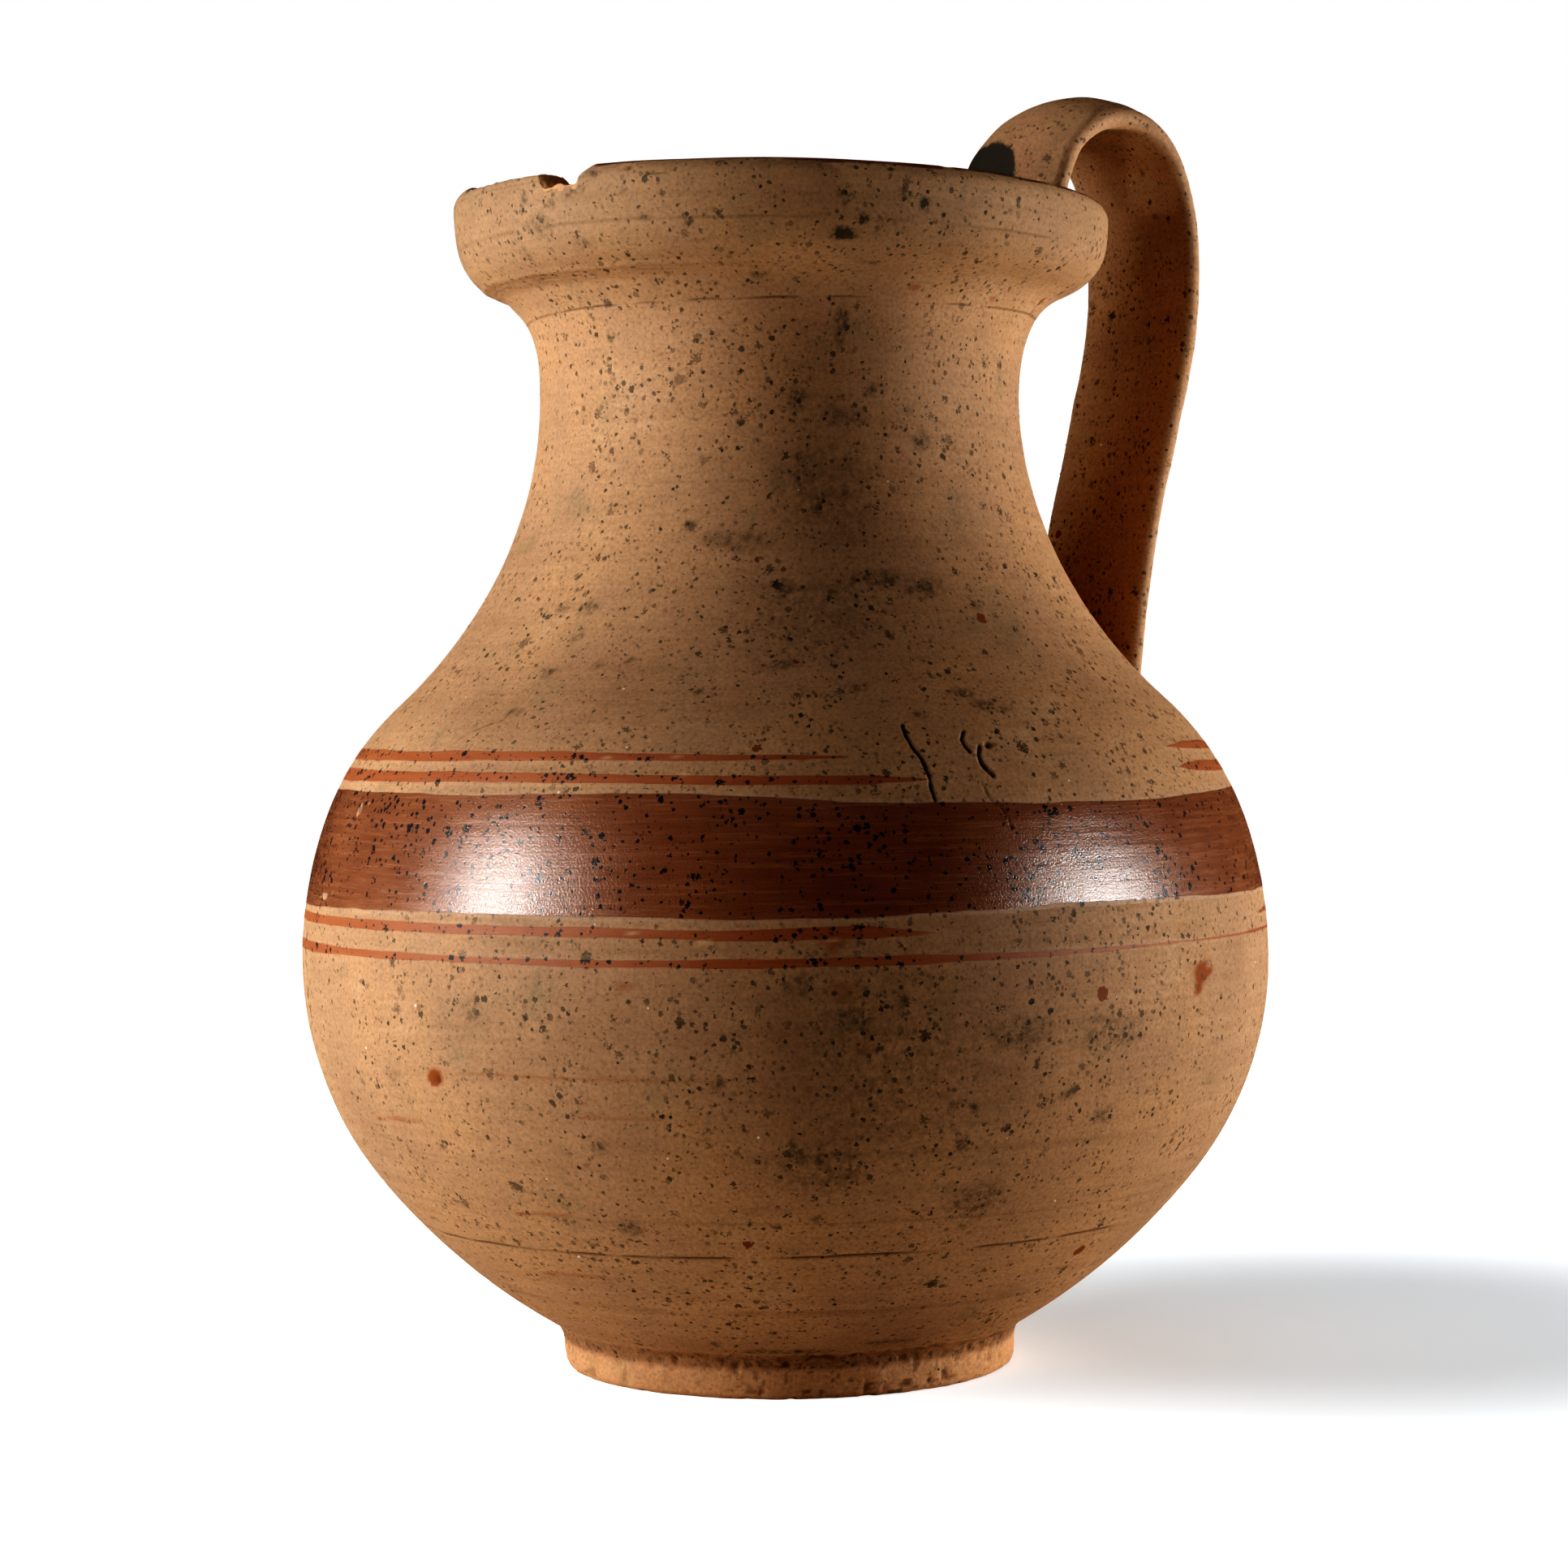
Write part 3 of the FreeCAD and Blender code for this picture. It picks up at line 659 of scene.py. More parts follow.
def crease_rings(made, rings, places):
    """Keeps the edges of the joint faces sharp, so that the outside shades on over a joint."""
    mesh = made.data
    wanted = np.concatenate([places[ring] * MM for ring in rings])
    keys = {tuple(np.round(place, 6)) for place in wanted}
    coordinates = np.zeros(len(mesh.vertices) * 3)
    mesh.vertices.foreach_get("co", coordinates)
    on_ring = np.array([tuple(np.round(place, 6)) in keys for place in coordinates.reshape(-1, 3)])
    ends = np.zeros(len(mesh.edges) * 2, int)
    mesh.edges.foreach_get("vertices", ends)
    ends = ends.reshape(-1, 2)
    sharp = on_ring[ends[:, 0]] & on_ring[ends[:, 1]]
    mesh.attributes.new("sharp_edge", "BOOLEAN", "EDGE").data.foreach_set("value", sharp)


# Bands of slip: bearing, lower edge, upper edge and how well the paint took there. The edges
# follow the brush as the jug turned, and the paint thins and gives out where the brush ran dry.
bands = {
    "slip_upper_line_a": (
        (0, 119.9, 121.6, 1.0), (55, 119.7, 121.7, 1.0), (110, 120.0, 122.1, 1.0),
        (155, 120.5, 122.6, 1.0), (186, 120.5, 122.5, 1.0), (206, 120.5, 122.3, 1.0),
        (225, 120.4, 121.6, 0.95), (237, 120.4, 121.3, 0.9), (241, 120.5, 121.2, 0.85),
        (243, 120.6, 121.1, 0.5), (245.5, 120.5, 121.1, 0.8), (253, 120.3, 120.9, 0.75),
        (259, 120.3, 120.8, 0.6), (264, 120.4, 120.7, 0.0), (288, 121.3, 121.7, 0.0),
        (293, 121.3, 122.1, 0.75), (299, 121.1, 122.7, 1.0), (306, 120.9, 122.6, 1.0),
        (330, 120.3, 122.0, 1.0),
    ),
    "slip_upper_line_b": (
        (0, 116.3, 118.0, 1.0), (60, 116.5, 118.4, 1.0), (115, 116.2, 118.3, 1.0),
        (155, 116.5, 119.0, 1.0), (188, 116.8, 118.8, 1.0), (214, 116.5, 118.3, 1.0),
        (226, 116.1, 117.9, 1.0), (243, 115.9, 117.8, 0.9), (249, 116.2, 117.4, 0.75),
        (254, 116.7, 117.1, 0.4), (257, 116.8, 117.0, 0.0), (290, 117.2, 118.2, 0.0),
        (296, 117.0, 118.9, 0.9), (304, 116.7, 118.9, 1.0), (325, 116.3, 118.3, 1.0),
    ),
    "slip_broad_band": (
        (0, 93.4, 113.9, 1.0), (40, 93.0, 114.3, 1.0), (85, 93.3, 114.0, 1.0),
        (125, 92.7, 114.4, 1.0), (153, 92.7, 114.9, 1.0), (180, 93.4, 114.9, 1.0),
        (194, 93.5, 114.5, 1.0), (204, 93.5, 114.8, 1.0), (214, 93.4, 115.1, 1.0),
        (223, 93.1, 114.8, 1.0), (231, 93.0, 114.2, 1.0), (242, 93.0, 113.1, 1.0),
        (248, 93.6, 112.8, 1.0), (258, 93.8, 112.6, 1.0), (264, 94.5, 112.3, 1.0),
        (283, 94.2, 112.3, 1.0), (297, 94.0, 113.1, 1.0), (320, 93.8, 113.7, 1.0),
        (340, 93.6, 113.6, 1.0),
    ),
    "slip_lower_line_a": (
        (0, 89.0, 90.8, 1.0), (45, 89.4, 91.2, 1.0), (95, 89.2, 91.3, 1.0),
        (150, 89.8, 91.6, 1.0), (186, 89.8, 91.8, 1.0), (213, 89.9, 91.8, 1.0),
        (226, 89.3, 91.3, 1.0), (234, 89.2, 91.6, 1.0), (242, 89.4, 92.0, 0.95),
        (247, 89.7, 91.0, 0.8), (252, 90.0, 90.5, 0.5), (256, 90.1, 90.4, 0.0),
        (294, 89.2, 89.6, 0.0), (300, 89.1, 89.7, 0.6), (312, 89.2, 90.4, 1.0),
        (335, 89.0, 90.6, 1.0),
    ),
    "slip_lower_line_b": (
        (0, 84.9, 86.5, 1.0), (50, 84.6, 86.5, 1.0), (100, 84.8, 86.3, 1.0),
        (150, 84.2, 86.3, 1.0), (190, 84.8, 86.3, 1.0), (213, 84.7, 86.1, 1.0),
        (234, 84.6, 86.5, 1.0), (249, 84.9, 86.6, 0.95), (261, 85.1, 86.5, 0.85),
        (278, 85.7, 86.8, 0.8), (294, 85.9, 86.9, 0.85), (308, 85.9, 86.9, 0.95),
        (330, 85.3, 86.6, 1.0),
    ),
}
# Where the coat has come away: bearing, height, half width and half height of each place
slip_losses = (
    (170.2, 111.4, 0.95, 1.15),
    (172.2, 112.6, 0.5, 0.5),
    (162.0, 109.2, 0.35, 0.9),
    (165.8, 95.0, 1.5, 0.55),
    (168.6, 96.0, 0.7, 0.5),
    (163.0, 94.2, 0.9, 0.45),
    (20.0, 104.0, 1.6, 0.9),
    (64.0, 111.0, 0.8, 1.2),
    (97.0, 98.0, 1.1, 0.6),
)


def painted_band(name, node):
    """A skin of slip over the clay. How far each place lies inside the painted edge goes with it."""
    table = bands[node]
    heights = [row[1] for row in table] + [row[2] for row in table]
    low = float(travelled_to(min(heights))) - slip_margin
    high = float(travelled_to(max(heights))) + slip_margin
    step = 0.42 if node == "slip_broad_band" else 0.3
    rows = spaced(low, high, step)
    s, b = np.meshgrid(rows, body_bearings, indexing="ij")
    lower, upper, took = round_the_jug(b, table)
    true, _ = section.at(s.ravel())
    turn = np.radians(b.ravel())
    flat = round_axis(true[:, 0], turn, true[:, 1] * 0.35)
    sway = lumpy(flat, (0.16, 9.0, 51), (0.07, 3.0, 52)).reshape(s.shape)
    below = s - travelled_to(lower) + sway
    above = travelled_to(upper) - s + sway * 0.8
    inside = np.minimum(below, above) - (1.0 - took) * 1.2
    for bearing, height, half_width, half_height in slip_losses:
        across = across_from(b, bearing, true[:, 0].reshape(s.shape))
        away = np.hypot(across / half_width, (s - travelled_to(height)) / half_height)
        away = away + 0.3 * rough(flat * 3.0, 2.0, 53).reshape(s.shape)
        inside = np.minimum(inside, (away - 1.0) * min(half_width, half_height))
    lift = slip_lift * smooth_step(-1.0, 0.3, inside) - 0.06 * smooth_step(-0.5, -1.0, inside)
    places, known = ring_grid(rows, body_bearings, lift)
    return turned_object(name, places, "open", known | {"inside_edge": inside, "took": took})


# How far the lip's paint comes down its outside: bearing, distance
lip_reach = (0, 0.9), (60, 0.7), (150, 0.6), (230, 0.6), (262, 1.0), (330, 1.1)


def painted_lip(name):
    """The slip on the lip, worn through along its edges and gone where the lip has broken."""
    begin = float(travelled_to(lip_top - 2.4))
    finish = 2.0 * outside_end - begin + 2.5
    rows = spaced(begin, finish, 0.3)
    s, b = np.meshgrid(rows, collar_bearings, indexing="ij")
    true, _ = section.at(s.ravel())
    turn = np.radians(b.ravel())
    flat = round_axis(true[:, 0], turn, true[:, 1])
    lost = broken_depth(b.ravel(), true[:, 0], flat).reshape(s.shape)
    drop = (lip_top - true[:, 1]).reshape(s.shape)
    outer_side = (s < outside_end).astype(float)
    flow = lumpy(flat, (0.45, 11.0, 61), (0.25, 3.5, 62)).reshape(s.shape)
    reach = round_the_jug(b, lip_reach)[0] + 0.9 * (1.0 - outer_side) + flow
    inside = np.minimum(reach - drop, 1.2 * (0.12 - lost))
    lift = slip_lift * smooth_step(-0.6, 0.2, inside) - 0.10 * smooth_step(-0.2, -0.8, inside)
    places, known = ring_grid(rows, collar_bearings, lift)
    return turned_object(name, places, "open", known | {"inside_edge": inside, "took": np.ones(s.shape)})


def foot_piece(name):
    """The foot ring, turned from its node's own outline, with the rough bottom of a pot that has
    been set down and dragged many times."""
    edges = turned_edges("foot_ring")
    start = max((point for edge in edges for point in edge), key=lambda point: point[1])
    points = chained(edges, start)
    if points[1][0] > start[0] - 0.01:
        points = points[:1] + points[:0:-1]
    under = outside_places[:, 1] < 2.0 * start[1]
    seat = np.interp(start[0], outside_places[under, 0], outside_s[under])
    bowl, away_from_bowl = section.at(np.array([seat, seat + foot_fillet]))
    corner, begin = np.array(start), np.array([start[0], start[1] - foot_fillet])
    end = bowl[1] - 0.05 * away_from_bowl[1]
    part = np.linspace(0.0, 1.0, 14)[:, None]
    fillet = begin * (1.0 - part) ** 2 + 2.0 * corner * part * (1.0 - part) + end * part**2
    behind = bowl[::-1] - away_from_bowl[::-1]
    loop = np.concatenate([points[1:], fillet, behind, points[1:2]])
    area = 0.5 * np.sum(loop[:-1, 0] * loop[1:, 1] - loop[1:, 0] * loop[:-1, 1])
    if area < 0:
        loop = loop[::-1]
    steps = np.hypot(*np.diff(loop, axis=0).T)
    at = np.concatenate([[0.0], np.cumsum(steps)])
    fine = np.arange(0.0, at[-1], 0.4 * (1.0))
    profile = np.column_stack([np.interp(fine, at, loop[:, 0]), np.interp(fine, at, loop[:, 1])])
    for _ in range(3):
        profile = 0.25 * np.roll(profile, 1, axis=0) + 0.5 * profile + 0.25 * np.roll(profile, -1, axis=0)
    ahead = np.roll(profile, -1, axis=0) - np.roll(profile, 1, axis=0)
    ahead /= np.hypot(*ahead.T)[:, None]
    out = np.column_stack([ahead[:, 1], -ahead[:, 0]])
    bearings = spaced(0.0, 360.0, 0.7)[:-1]
    turn = np.radians(bearings)[None, :]
    radius, height = profile[:, 0][:, None], profile[:, 1][:, None]
    flat = round_axis(radius, turn, height).reshape(-1, 3)
    hollows = rough(flat, 1.7, 71)
    lumps = lumpy(flat, (0.16, 6.5, 72), (0.10, 1.8, 73))
    lumps -= 0.28 * smooth_step(0.40, 0.75, hollows)
    swell = 0.35 * rough(flat * (1.0, 1.0, 0.3), 22.0, 74)
    low_side = 1.0 - smooth_step(0.0, 0.6, flat[:, 2])
    lumps = (lumps + swell * smooth_step(0.0, 2.0, flat[:, 2])) * (1.0 - 0.6 * low_side)
    lumps *= 1.0 - smooth_step(start[1] - 0.6, start[1] + 1.2, flat[:, 2])
    lumps = lumps.reshape(len(profile), len(bearings))
    outward, upward = out[:, 0:1], out[:, 1:2]
    places = round_axis(radius + outward * lumps, turn, np.maximum(height + upward * lumps, 0.0))
    ways = round_axis(outward, turn, upward)
    fine_pocks = 0.6 * smooth_step(0.42, 0.62, rough(flat, 0.9, 75))
    pocks = np.maximum(0.8 * smooth_step(0.5, 0.8, hollows), fine_pocks)
    pitted = pocks.reshape(lumps.shape) * (0.6 + 0.4 * np.sin(turn * 3.0 + 1.0))
    crease = smooth_step(5.0, 6.6, flat[:, 2]) * (1.0 - smooth_step(8.4, 9.8, flat[:, 2]))
    crease = crease.reshape(lumps.shape) * (radius > foot_outside)
    # The foot is laid paler all over, save the band just under the bowl: partly its own worn clay, partly
    # painted light that stands for light thrown up from the floor. That band is left darker and more
    # orange, with smudges.
    known = {
        "way_out": ways,
        "dirt": pitted,
        "paler_clay": 0.75 * (1.0 - crease),
        "rust": 0.1 + 0.25 * crease,
        "smudge": 0.3 * crease,
        "grit_here": smooth_step(0.3, 1.0, height) * (radius > foot_outside) * np.ones(lumps.shape),
    }
    return turned_object(name, places, "tyre", known)


def node_copy(name, nodes):
    """One mesh from copies of CAD nodes, their loose triangles merged."""
    joined = bmesh.new()
    for node in nodes:
        joined.from_mesh(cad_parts[node].data)
    bmesh.ops.remove_doubles(joined, verts=joined.verts, dist=1e-6)
    mesh = bpy.data.meshes.new(name)
    joined.to_mesh(mesh)
    joined.free()
    made = bpy.data.objects.new(name, mesh)
    scene.collection.objects.link(made)
    return made


def settled(made):
    """The object's mesh as its modifiers leave it, with the modifiers gone."""
    bpy.context.view_layer.update()
    shaped = made.evaluated_get(bpy.context.evaluated_depsgraph_get())
    mesh = bpy.data.meshes.new_from_object(shaped)
    made.modifiers.clear()
    made.data = mesh
    return made


def pulled_strap(name):
    """The strap with the clay that beds its two ends, pressed on and smoothed with a wet finger."""
    made = node_copy(name, ("handle_strap", "rim_luting", "shoulder_luting"))
    remesh = made.modifiers.new("one_clay", "REMESH")
    remesh.mode = "VOXEL"
    remesh.voxel_size = strap_voxel * MM
    soften = made.modifiers.new("wet_finger", "SMOOTH")
    soften.factor = 0.5
    soften.iterations = 5
    settled(made)
    collar = node_copy("collar_seat", ("rim_collar", "neck_wall", "belly_wall"))
    tree = BVHTree.FromObject(collar, bpy.context.evaluated_depsgraph_get())
    mesh = made.data
    count = len(mesh.vertices)
    coordinates = np.zeros(count * 3)
    mesh.vertices.foreach_get("co", coordinates)
    places = coordinates.reshape(-1, 3) / MM
    pull = np.zeros((count, 3))
    for k in range(count):
        found, normal, _, distance = tree.find_nearest(Vector(places[k] * MM), 4.0 * MM)
        if found is None:
            continue
        near = 1.0 - smooth_step(0.0, 1.6, distance / MM)
        pull[k] = -np.array(normal) * near
    bpy.data.objects.remove(collar)
    side = math.radians(lip_dip_bearing)
    from_root = np.linalg.norm(places - np.array(strap_root), axis=1)
    follows = (1.0 - smooth_step(6.0, 26.0, from_root)) * (places[:, 2] > 190.0)
    towards = places[:, 0] * math.cos(side) + places[:, 1] * math.sin(side)
    places[:, 2] -= lip_dip * towards * follows
    places += pull
    lumps = lumpy(places, (0.20, 14.0, 81), (0.10, 5.0, 82))
    normals = np.zeros(count * 3)
    mesh.vertex_normals.foreach_get("vector", normals)
    normals = normals.reshape(-1, 3)
    pulled = rough(places * (1.0, 3.2, 0.25), 9.0, 83) * 0.10
    places += normals * (lumps + pulled)[:, None]
    mesh.vertices.foreach_set("co", (places * MM).ravel())
    mesh.polygons.foreach_set("use_smooth", np.ones(len(mesh.polygons), bool))
    from_dark_patch = (places - np.array(dark_patch_middle)) / (1.0, dark_patch_half_width, dark_patch_half_height)
    from_patch = np.cbrt(np.abs(from_dark_patch[:, 1:]) ** 3 @ (1.0, 1.0)) + 0.05 * rough(places, 2.5, 84)
    from_patch = from_patch + (from_dark_patch[:, 0] > 0.0)
    known = {"way_out": normals} | {key: np.zeros(count) for key in ("dirt", "paler_clay", "rust")}
    # The dark patch on the strap's root: a smudge strong enough to turn near black
    known["smudge"] = 4.0 * (1.0 - smooth_step(0.92, 1.06, from_patch))
    known["grit_here"] = np.ones(count)
    keep_values(mesh, known)
    mesh.update()
    return made


def linear(hex_colour):
    """An sRGB hex colour as linear red, green, blue and full alpha."""
    parts = [int(hex_colour[k : k + 2], 16) / 255.0 for k in (0, 2, 4)]
    return tuple(p / 12.92 if p <= 0.04045 else ((p + 0.055) / 1.055) ** 2.4 for p in parts) + (1.0,)


def put(tree, kind, inputs=None, stops=(), **settings):
    """Adds one node with its settings, its links and, for a ramp, its stops of (place, colour), where
    a colour is a number or a hex string. An input is a value, or a socket or node to link to it. A
    node gives the first of its outputs that is in use."""
    node = tree.nodes.new(kind)
    for key, value in settings.items():
        setattr(node, key, value)
    for key, value in (inputs or {}).items():
        if isinstance(value, bpy.types.Node):
            value = next(socket for socket in value.outputs if socket.enabled)
        if isinstance(value, bpy.types.NodeSocket):
            tree.links.new(value, node.inputs[key])
        else:
            node.inputs[key].default_value = value
    if stops:
        line = node.color_ramp
        while len(line.elements) < len(stops):
            line.elements.new(0.5)
        for element, (place, colour) in zip(line.elements, stops):
            element.position = place
            element.color = linear(colour) if isinstance(colour, str) else (colour, colour, colour, 1.0)
    return node


def new_tree(name, values):
    """A geometry tree with an input for each named value and for the material that it lays on."""
    tree = bpy.data.node_groups.new(name, "GeometryNodeTree")
    face = tree.interface
    face.new_socket("Geometry", in_out="INPUT", socket_type="NodeSocketGeometry")
    for label, value in values.items():
        kind = "NodeSocketInt" if isinstance(value, int) else "NodeSocketFloat"
        face.new_socket(label, in_out="INPUT", socket_type=kind).default_value = value
    face.new_socket("Material", in_out="INPUT", socket_type="NodeSocketMaterial")
    face.new_socket("Geometry", in_out="OUTPUT", socket_type="NodeSocketGeometry")
    return tree


def give_out(tree, given, shaped):
    """Ends a geometry tree: the shaped mesh in one piece, with the material laid on."""
    single = put(tree, "GeometryNodeRealizeInstances", {"Geometry": shaped})
    finished = put(
        tree, "GeometryNodeSetMaterial", {"Geometry": single, "Material": given.outputs["Material"]}
    )
    put(tree, "NodeGroupOutput", {"Geometry": finished})


def throwing_tree():
    """Displaces a thrown surface along its way out, in rings that wander round and rise a little,
    as the potter's fingers and the rib leave them."""
    tree = new_tree(
        "throwing_rings",
        {"Ring spacing": ring_spacing, "Ring depth": ring_depth, "Rise": 0.012, "Seed": 3.0},
    )
    given = put(tree, "NodeGroupInput")
    place = put(tree, "GeometryNodeInputPosition")
    mm = put(tree, "ShaderNodeVectorMath", {0: place, 3: 1.0 / MM}, operation="SCALE")
    apart = put(tree, "ShaderNodeSeparateXYZ", {0: mm})
    x, y, z = apart.outputs
    turn = put(tree, "ShaderNodeMath", {0: y, 1: x}, operation="ARCTAN2")
    climb = put(tree, "ShaderNodeMath", {0: turn, 1: given.outputs["Rise"]}, operation="MULTIPLY")
    height = put(tree, "ShaderNodeMath", {0: z, 1: given.outputs["Ring spacing"]}, operation="DIVIDE")
    lifted = put(tree, "ShaderNodeMath", {0: height, 1: climb}, operation="ADD")
    slow_x = put(tree, "ShaderNodeMath", {0: x, 1: 0.011}, operation="MULTIPLY")
    slow_y = put(tree, "ShaderNodeMath", {0: y, 1: 0.011}, operation="MULTIPLY")
    squeezed = put(tree, "ShaderNodeCombineXYZ", {"X": slow_x, "Y": slow_y, "Z": lifted})
    rings = put(
        tree, "ShaderNodeTexNoise",
        {"Vector": squeezed, "W": given.outputs["Seed"], "Scale": 1.0, "Detail": 2.5, "Roughness": 0.55},
        noise_dimensions="4D",
    )
    centred = put(tree, "ShaderNodeMath", {0: rings, 1: 0.5}, operation="SUBTRACT")
    deep = put(
        tree, "ShaderNodeMath", {0: given.outputs["Ring depth"], 1: 4.0 * MM}, operation="MULTIPLY"
    )
    amount = put(tree, "ShaderNodeMath", {0: centred, 1: deep}, operation="MULTIPLY")
    way = put(tree, "GeometryNodeInputNamedAttribute", {"Name": "way_out"}, data_type="FLOAT_VECTOR")
    offset = put(tree, "ShaderNodeVectorMath", {0: way, 3: amount}, operation="SCALE")
    moved = put(
        tree, "GeometryNodeSetPosition", {"Geometry": given.outputs["Geometry"], "Offset": offset}
    )
    give_out(tree, given, moved)
    return tree


def grit_tree():
    """Scatters grains of grit in the outside of the clay, most of each one sunk in it."""
    tree = new_tree(
        "grit_in_the_clay",
        {
            "Grains per square metre": 14000.0,
            "Smallest": 0.2 * MM,
            "Largest": 0.8 * MM,
            "Flatness": 0.3,
            "Seed": 5,
        },
    )
    given = put(tree, "NodeGroupInput")
    place = put(tree, "GeometryNodeInputPosition")
    patches = put(
        tree, "ShaderNodeTexNoise", {"Vector": place, "Scale": 1.0 / (24.0 * MM), "Detail": 2.0}
    )
    gathered = put(
        tree, "ShaderNodeMapRange",
        {"Value": patches, "From Min": 0.38, "From Max": 0.68, "To Min": 0.15, "To Max": 1.7},
    )
    shown = put(tree, "GeometryNodeInputNamedAttribute", {"Name": "grit_here"}, data_type="FLOAT")
    wanted = put(tree, "ShaderNodeMath", {0: gathered, 1: shown}, operation="MULTIPLY")
    density = put(
        tree, "ShaderNodeMath",
        {0: wanted, 1: given.outputs["Grains per square metre"]}, operation="MULTIPLY",
    )
    spots = put(
        tree, "GeometryNodeDistributePointsOnFaces",
        {"Mesh": given.outputs["Geometry"], "Density": density, "Seed": given.outputs["Seed"]},
        distribute_method="RANDOM",
    )
    grain = put(tree, "GeometryNodeMeshIcoSphere", {"Radius": 0.5, "Subdivisions": 1})
    ragged = put(tree, "ShaderNodeTexNoise", {"Scale": 1.7, "Detail": 1.0})
    bumpy = put(tree, "ShaderNodeMapRange", {"Value": ragged, "To Min": -0.28, "To Max": 0.28})
    outward = put(tree, "GeometryNodeInputNormal")
    pushed = put(tree, "ShaderNodeVectorMath", {0: outward, 3: bumpy}, operation="SCALE")
    lump = put(tree, "GeometryNodeSetPosition", {"Geometry": grain.outputs["Mesh"], "Offset": pushed})
    chance, stretch, spin = (
        put(tree, "FunctionNodeRandomValue", {"Min": low, "Max": high, "Seed": key}, data_type="FLOAT")
        for low, high, key in (
            (0.0, 1.0, given.outputs["Seed"]), (0.6, 1.25, 11), (0.0, math.tau, 12)
        )
    )
    few_large = put(tree, "ShaderNodeMath", {0: chance, 1: 3.2}, operation="POWER")
    size = put(
        tree, "ShaderNodeMapRange",
        {"Value": few_large, "To Min": given.outputs["Smallest"], "To Max": given.outputs["Largest"]},
    )
    thin = put(tree, "ShaderNodeMath", {0: size, 1: given.outputs["Flatness"]}, operation="MULTIPLY")
    longer = put(tree, "ShaderNodeMath", {0: size, 1: stretch}, operation="MULTIPLY")
    scale = put(tree, "ShaderNodeCombineXYZ", {"X": size, "Y": longer, "Z": thin})
    twist = put(tree, "ShaderNodeCombineXYZ", {"Z": spin})
    laid = put(
        tree, "FunctionNodeRotateRotation",
        {"Rotation": spots.outputs["Rotation"], "Rotate By": twist}, rotation_space="LOCAL",
    )
    grains = put(
        tree, "GeometryNodeInstanceOnPoints",
        {"Points": spots.outputs["Points"], "Instance": lump, "Rotation": laid, "Scale": scale},
    )
    give_out(tree, given, grains)
    return tree


def grown(made, tree, **inputs):
    """Runs a tree on an object and keeps the result as its plain mesh."""
    modifier = made.modifiers.new(tree.name, "NODES")
    modifier.node_group = tree
    for socket in tree.interface.items_tree:
        label = socket.name.replace(" ", "_").lower()
        if socket.in_out == "INPUT" and label in inputs:
            modifier[socket.identifier] = inputs[label]
    return settled(made)


def mm_space(tree, squeeze=(1.0, 1.0, 1.0)):
    """Object coordinates in millimetres, squeezed where a pattern is drawn out one way."""
    place = put(tree, "ShaderNodeTexCoord")
    scale = tuple(part / MM for part in squeeze)
    return put(tree, "ShaderNodeMapping", {"Vector": place.outputs["Object"], "Scale": scale})


def noises(tree, table):
    """Named noise from rows of (name, space, millimetres across a lump, detail, roughness)."""
    return {
        name: put(
            tree, "ShaderNodeTexNoise",
            {"Vector": space, "Scale": 1.0 / size, "Detail": detail, "Roughness": roughness},
        )
        for name, space, size, detail, roughness in table
    }


def mesh_values(tree, *names):
    """What the mesh knows of each place of the clay, by name."""
    return {
        name: put(tree, "ShaderNodeAttribute", attribute_name=name).outputs["Fac"] for name in names
    }


def specks(tree, place, spacing, largest, rarity, crowd, faintest=0.9):
    """A mask of grit grains: one in each cell of the clay, most of them too small to see, and
    larger where the clay is crowded with them."""
    cells = put(tree, "ShaderNodeTexVoronoi", {"Vector": place, "Scale": 1.0 / spacing}, feature="F1")
    chance = put(tree, "ShaderNodeSeparateColor", {"Color": cells.outputs["Color"]})
    few = put(tree, "ShaderNodeMath", {0: chance.outputs["Red"], 1: rarity}, operation="POWER")
    grown_large = put(tree, "ShaderNodeMath", {0: few, 1: crowd}, operation="MULTIPLY")
    radius = put(tree, "ShaderNodeMath", {0: grown_large, 1: largest / spacing}, operation="MULTIPLY")
    inside = put(
        tree, "ShaderNodeMath", {0: radius, 1: cells.outputs["Distance"]}, operation="SUBTRACT"
    )
    soft = 0.07 / spacing
    dark = put(
        tree, "ShaderNodeMapRange",
        {"Value": chance.outputs["Green"], "To Min": faintest, "To Max": 1.0},
    )
    return put(
        tree, "ShaderNodeMapRange",
        {"Value": inside, "From Min": -soft * 0.3, "From Max": soft, "To Min": 0.0, "To Max": dark},
        interpolation_type="SMOOTHSTEP",
    )


def layered(tree, under, layers):
    """A colour with others laid over it in turn, each by its own amount."""
    for amount, colour in layers:
        under = put(
            tree, "ShaderNodeMix", {"Factor": amount, "A": under, "B": colour}, data_type="RGBA"
        )
    return under


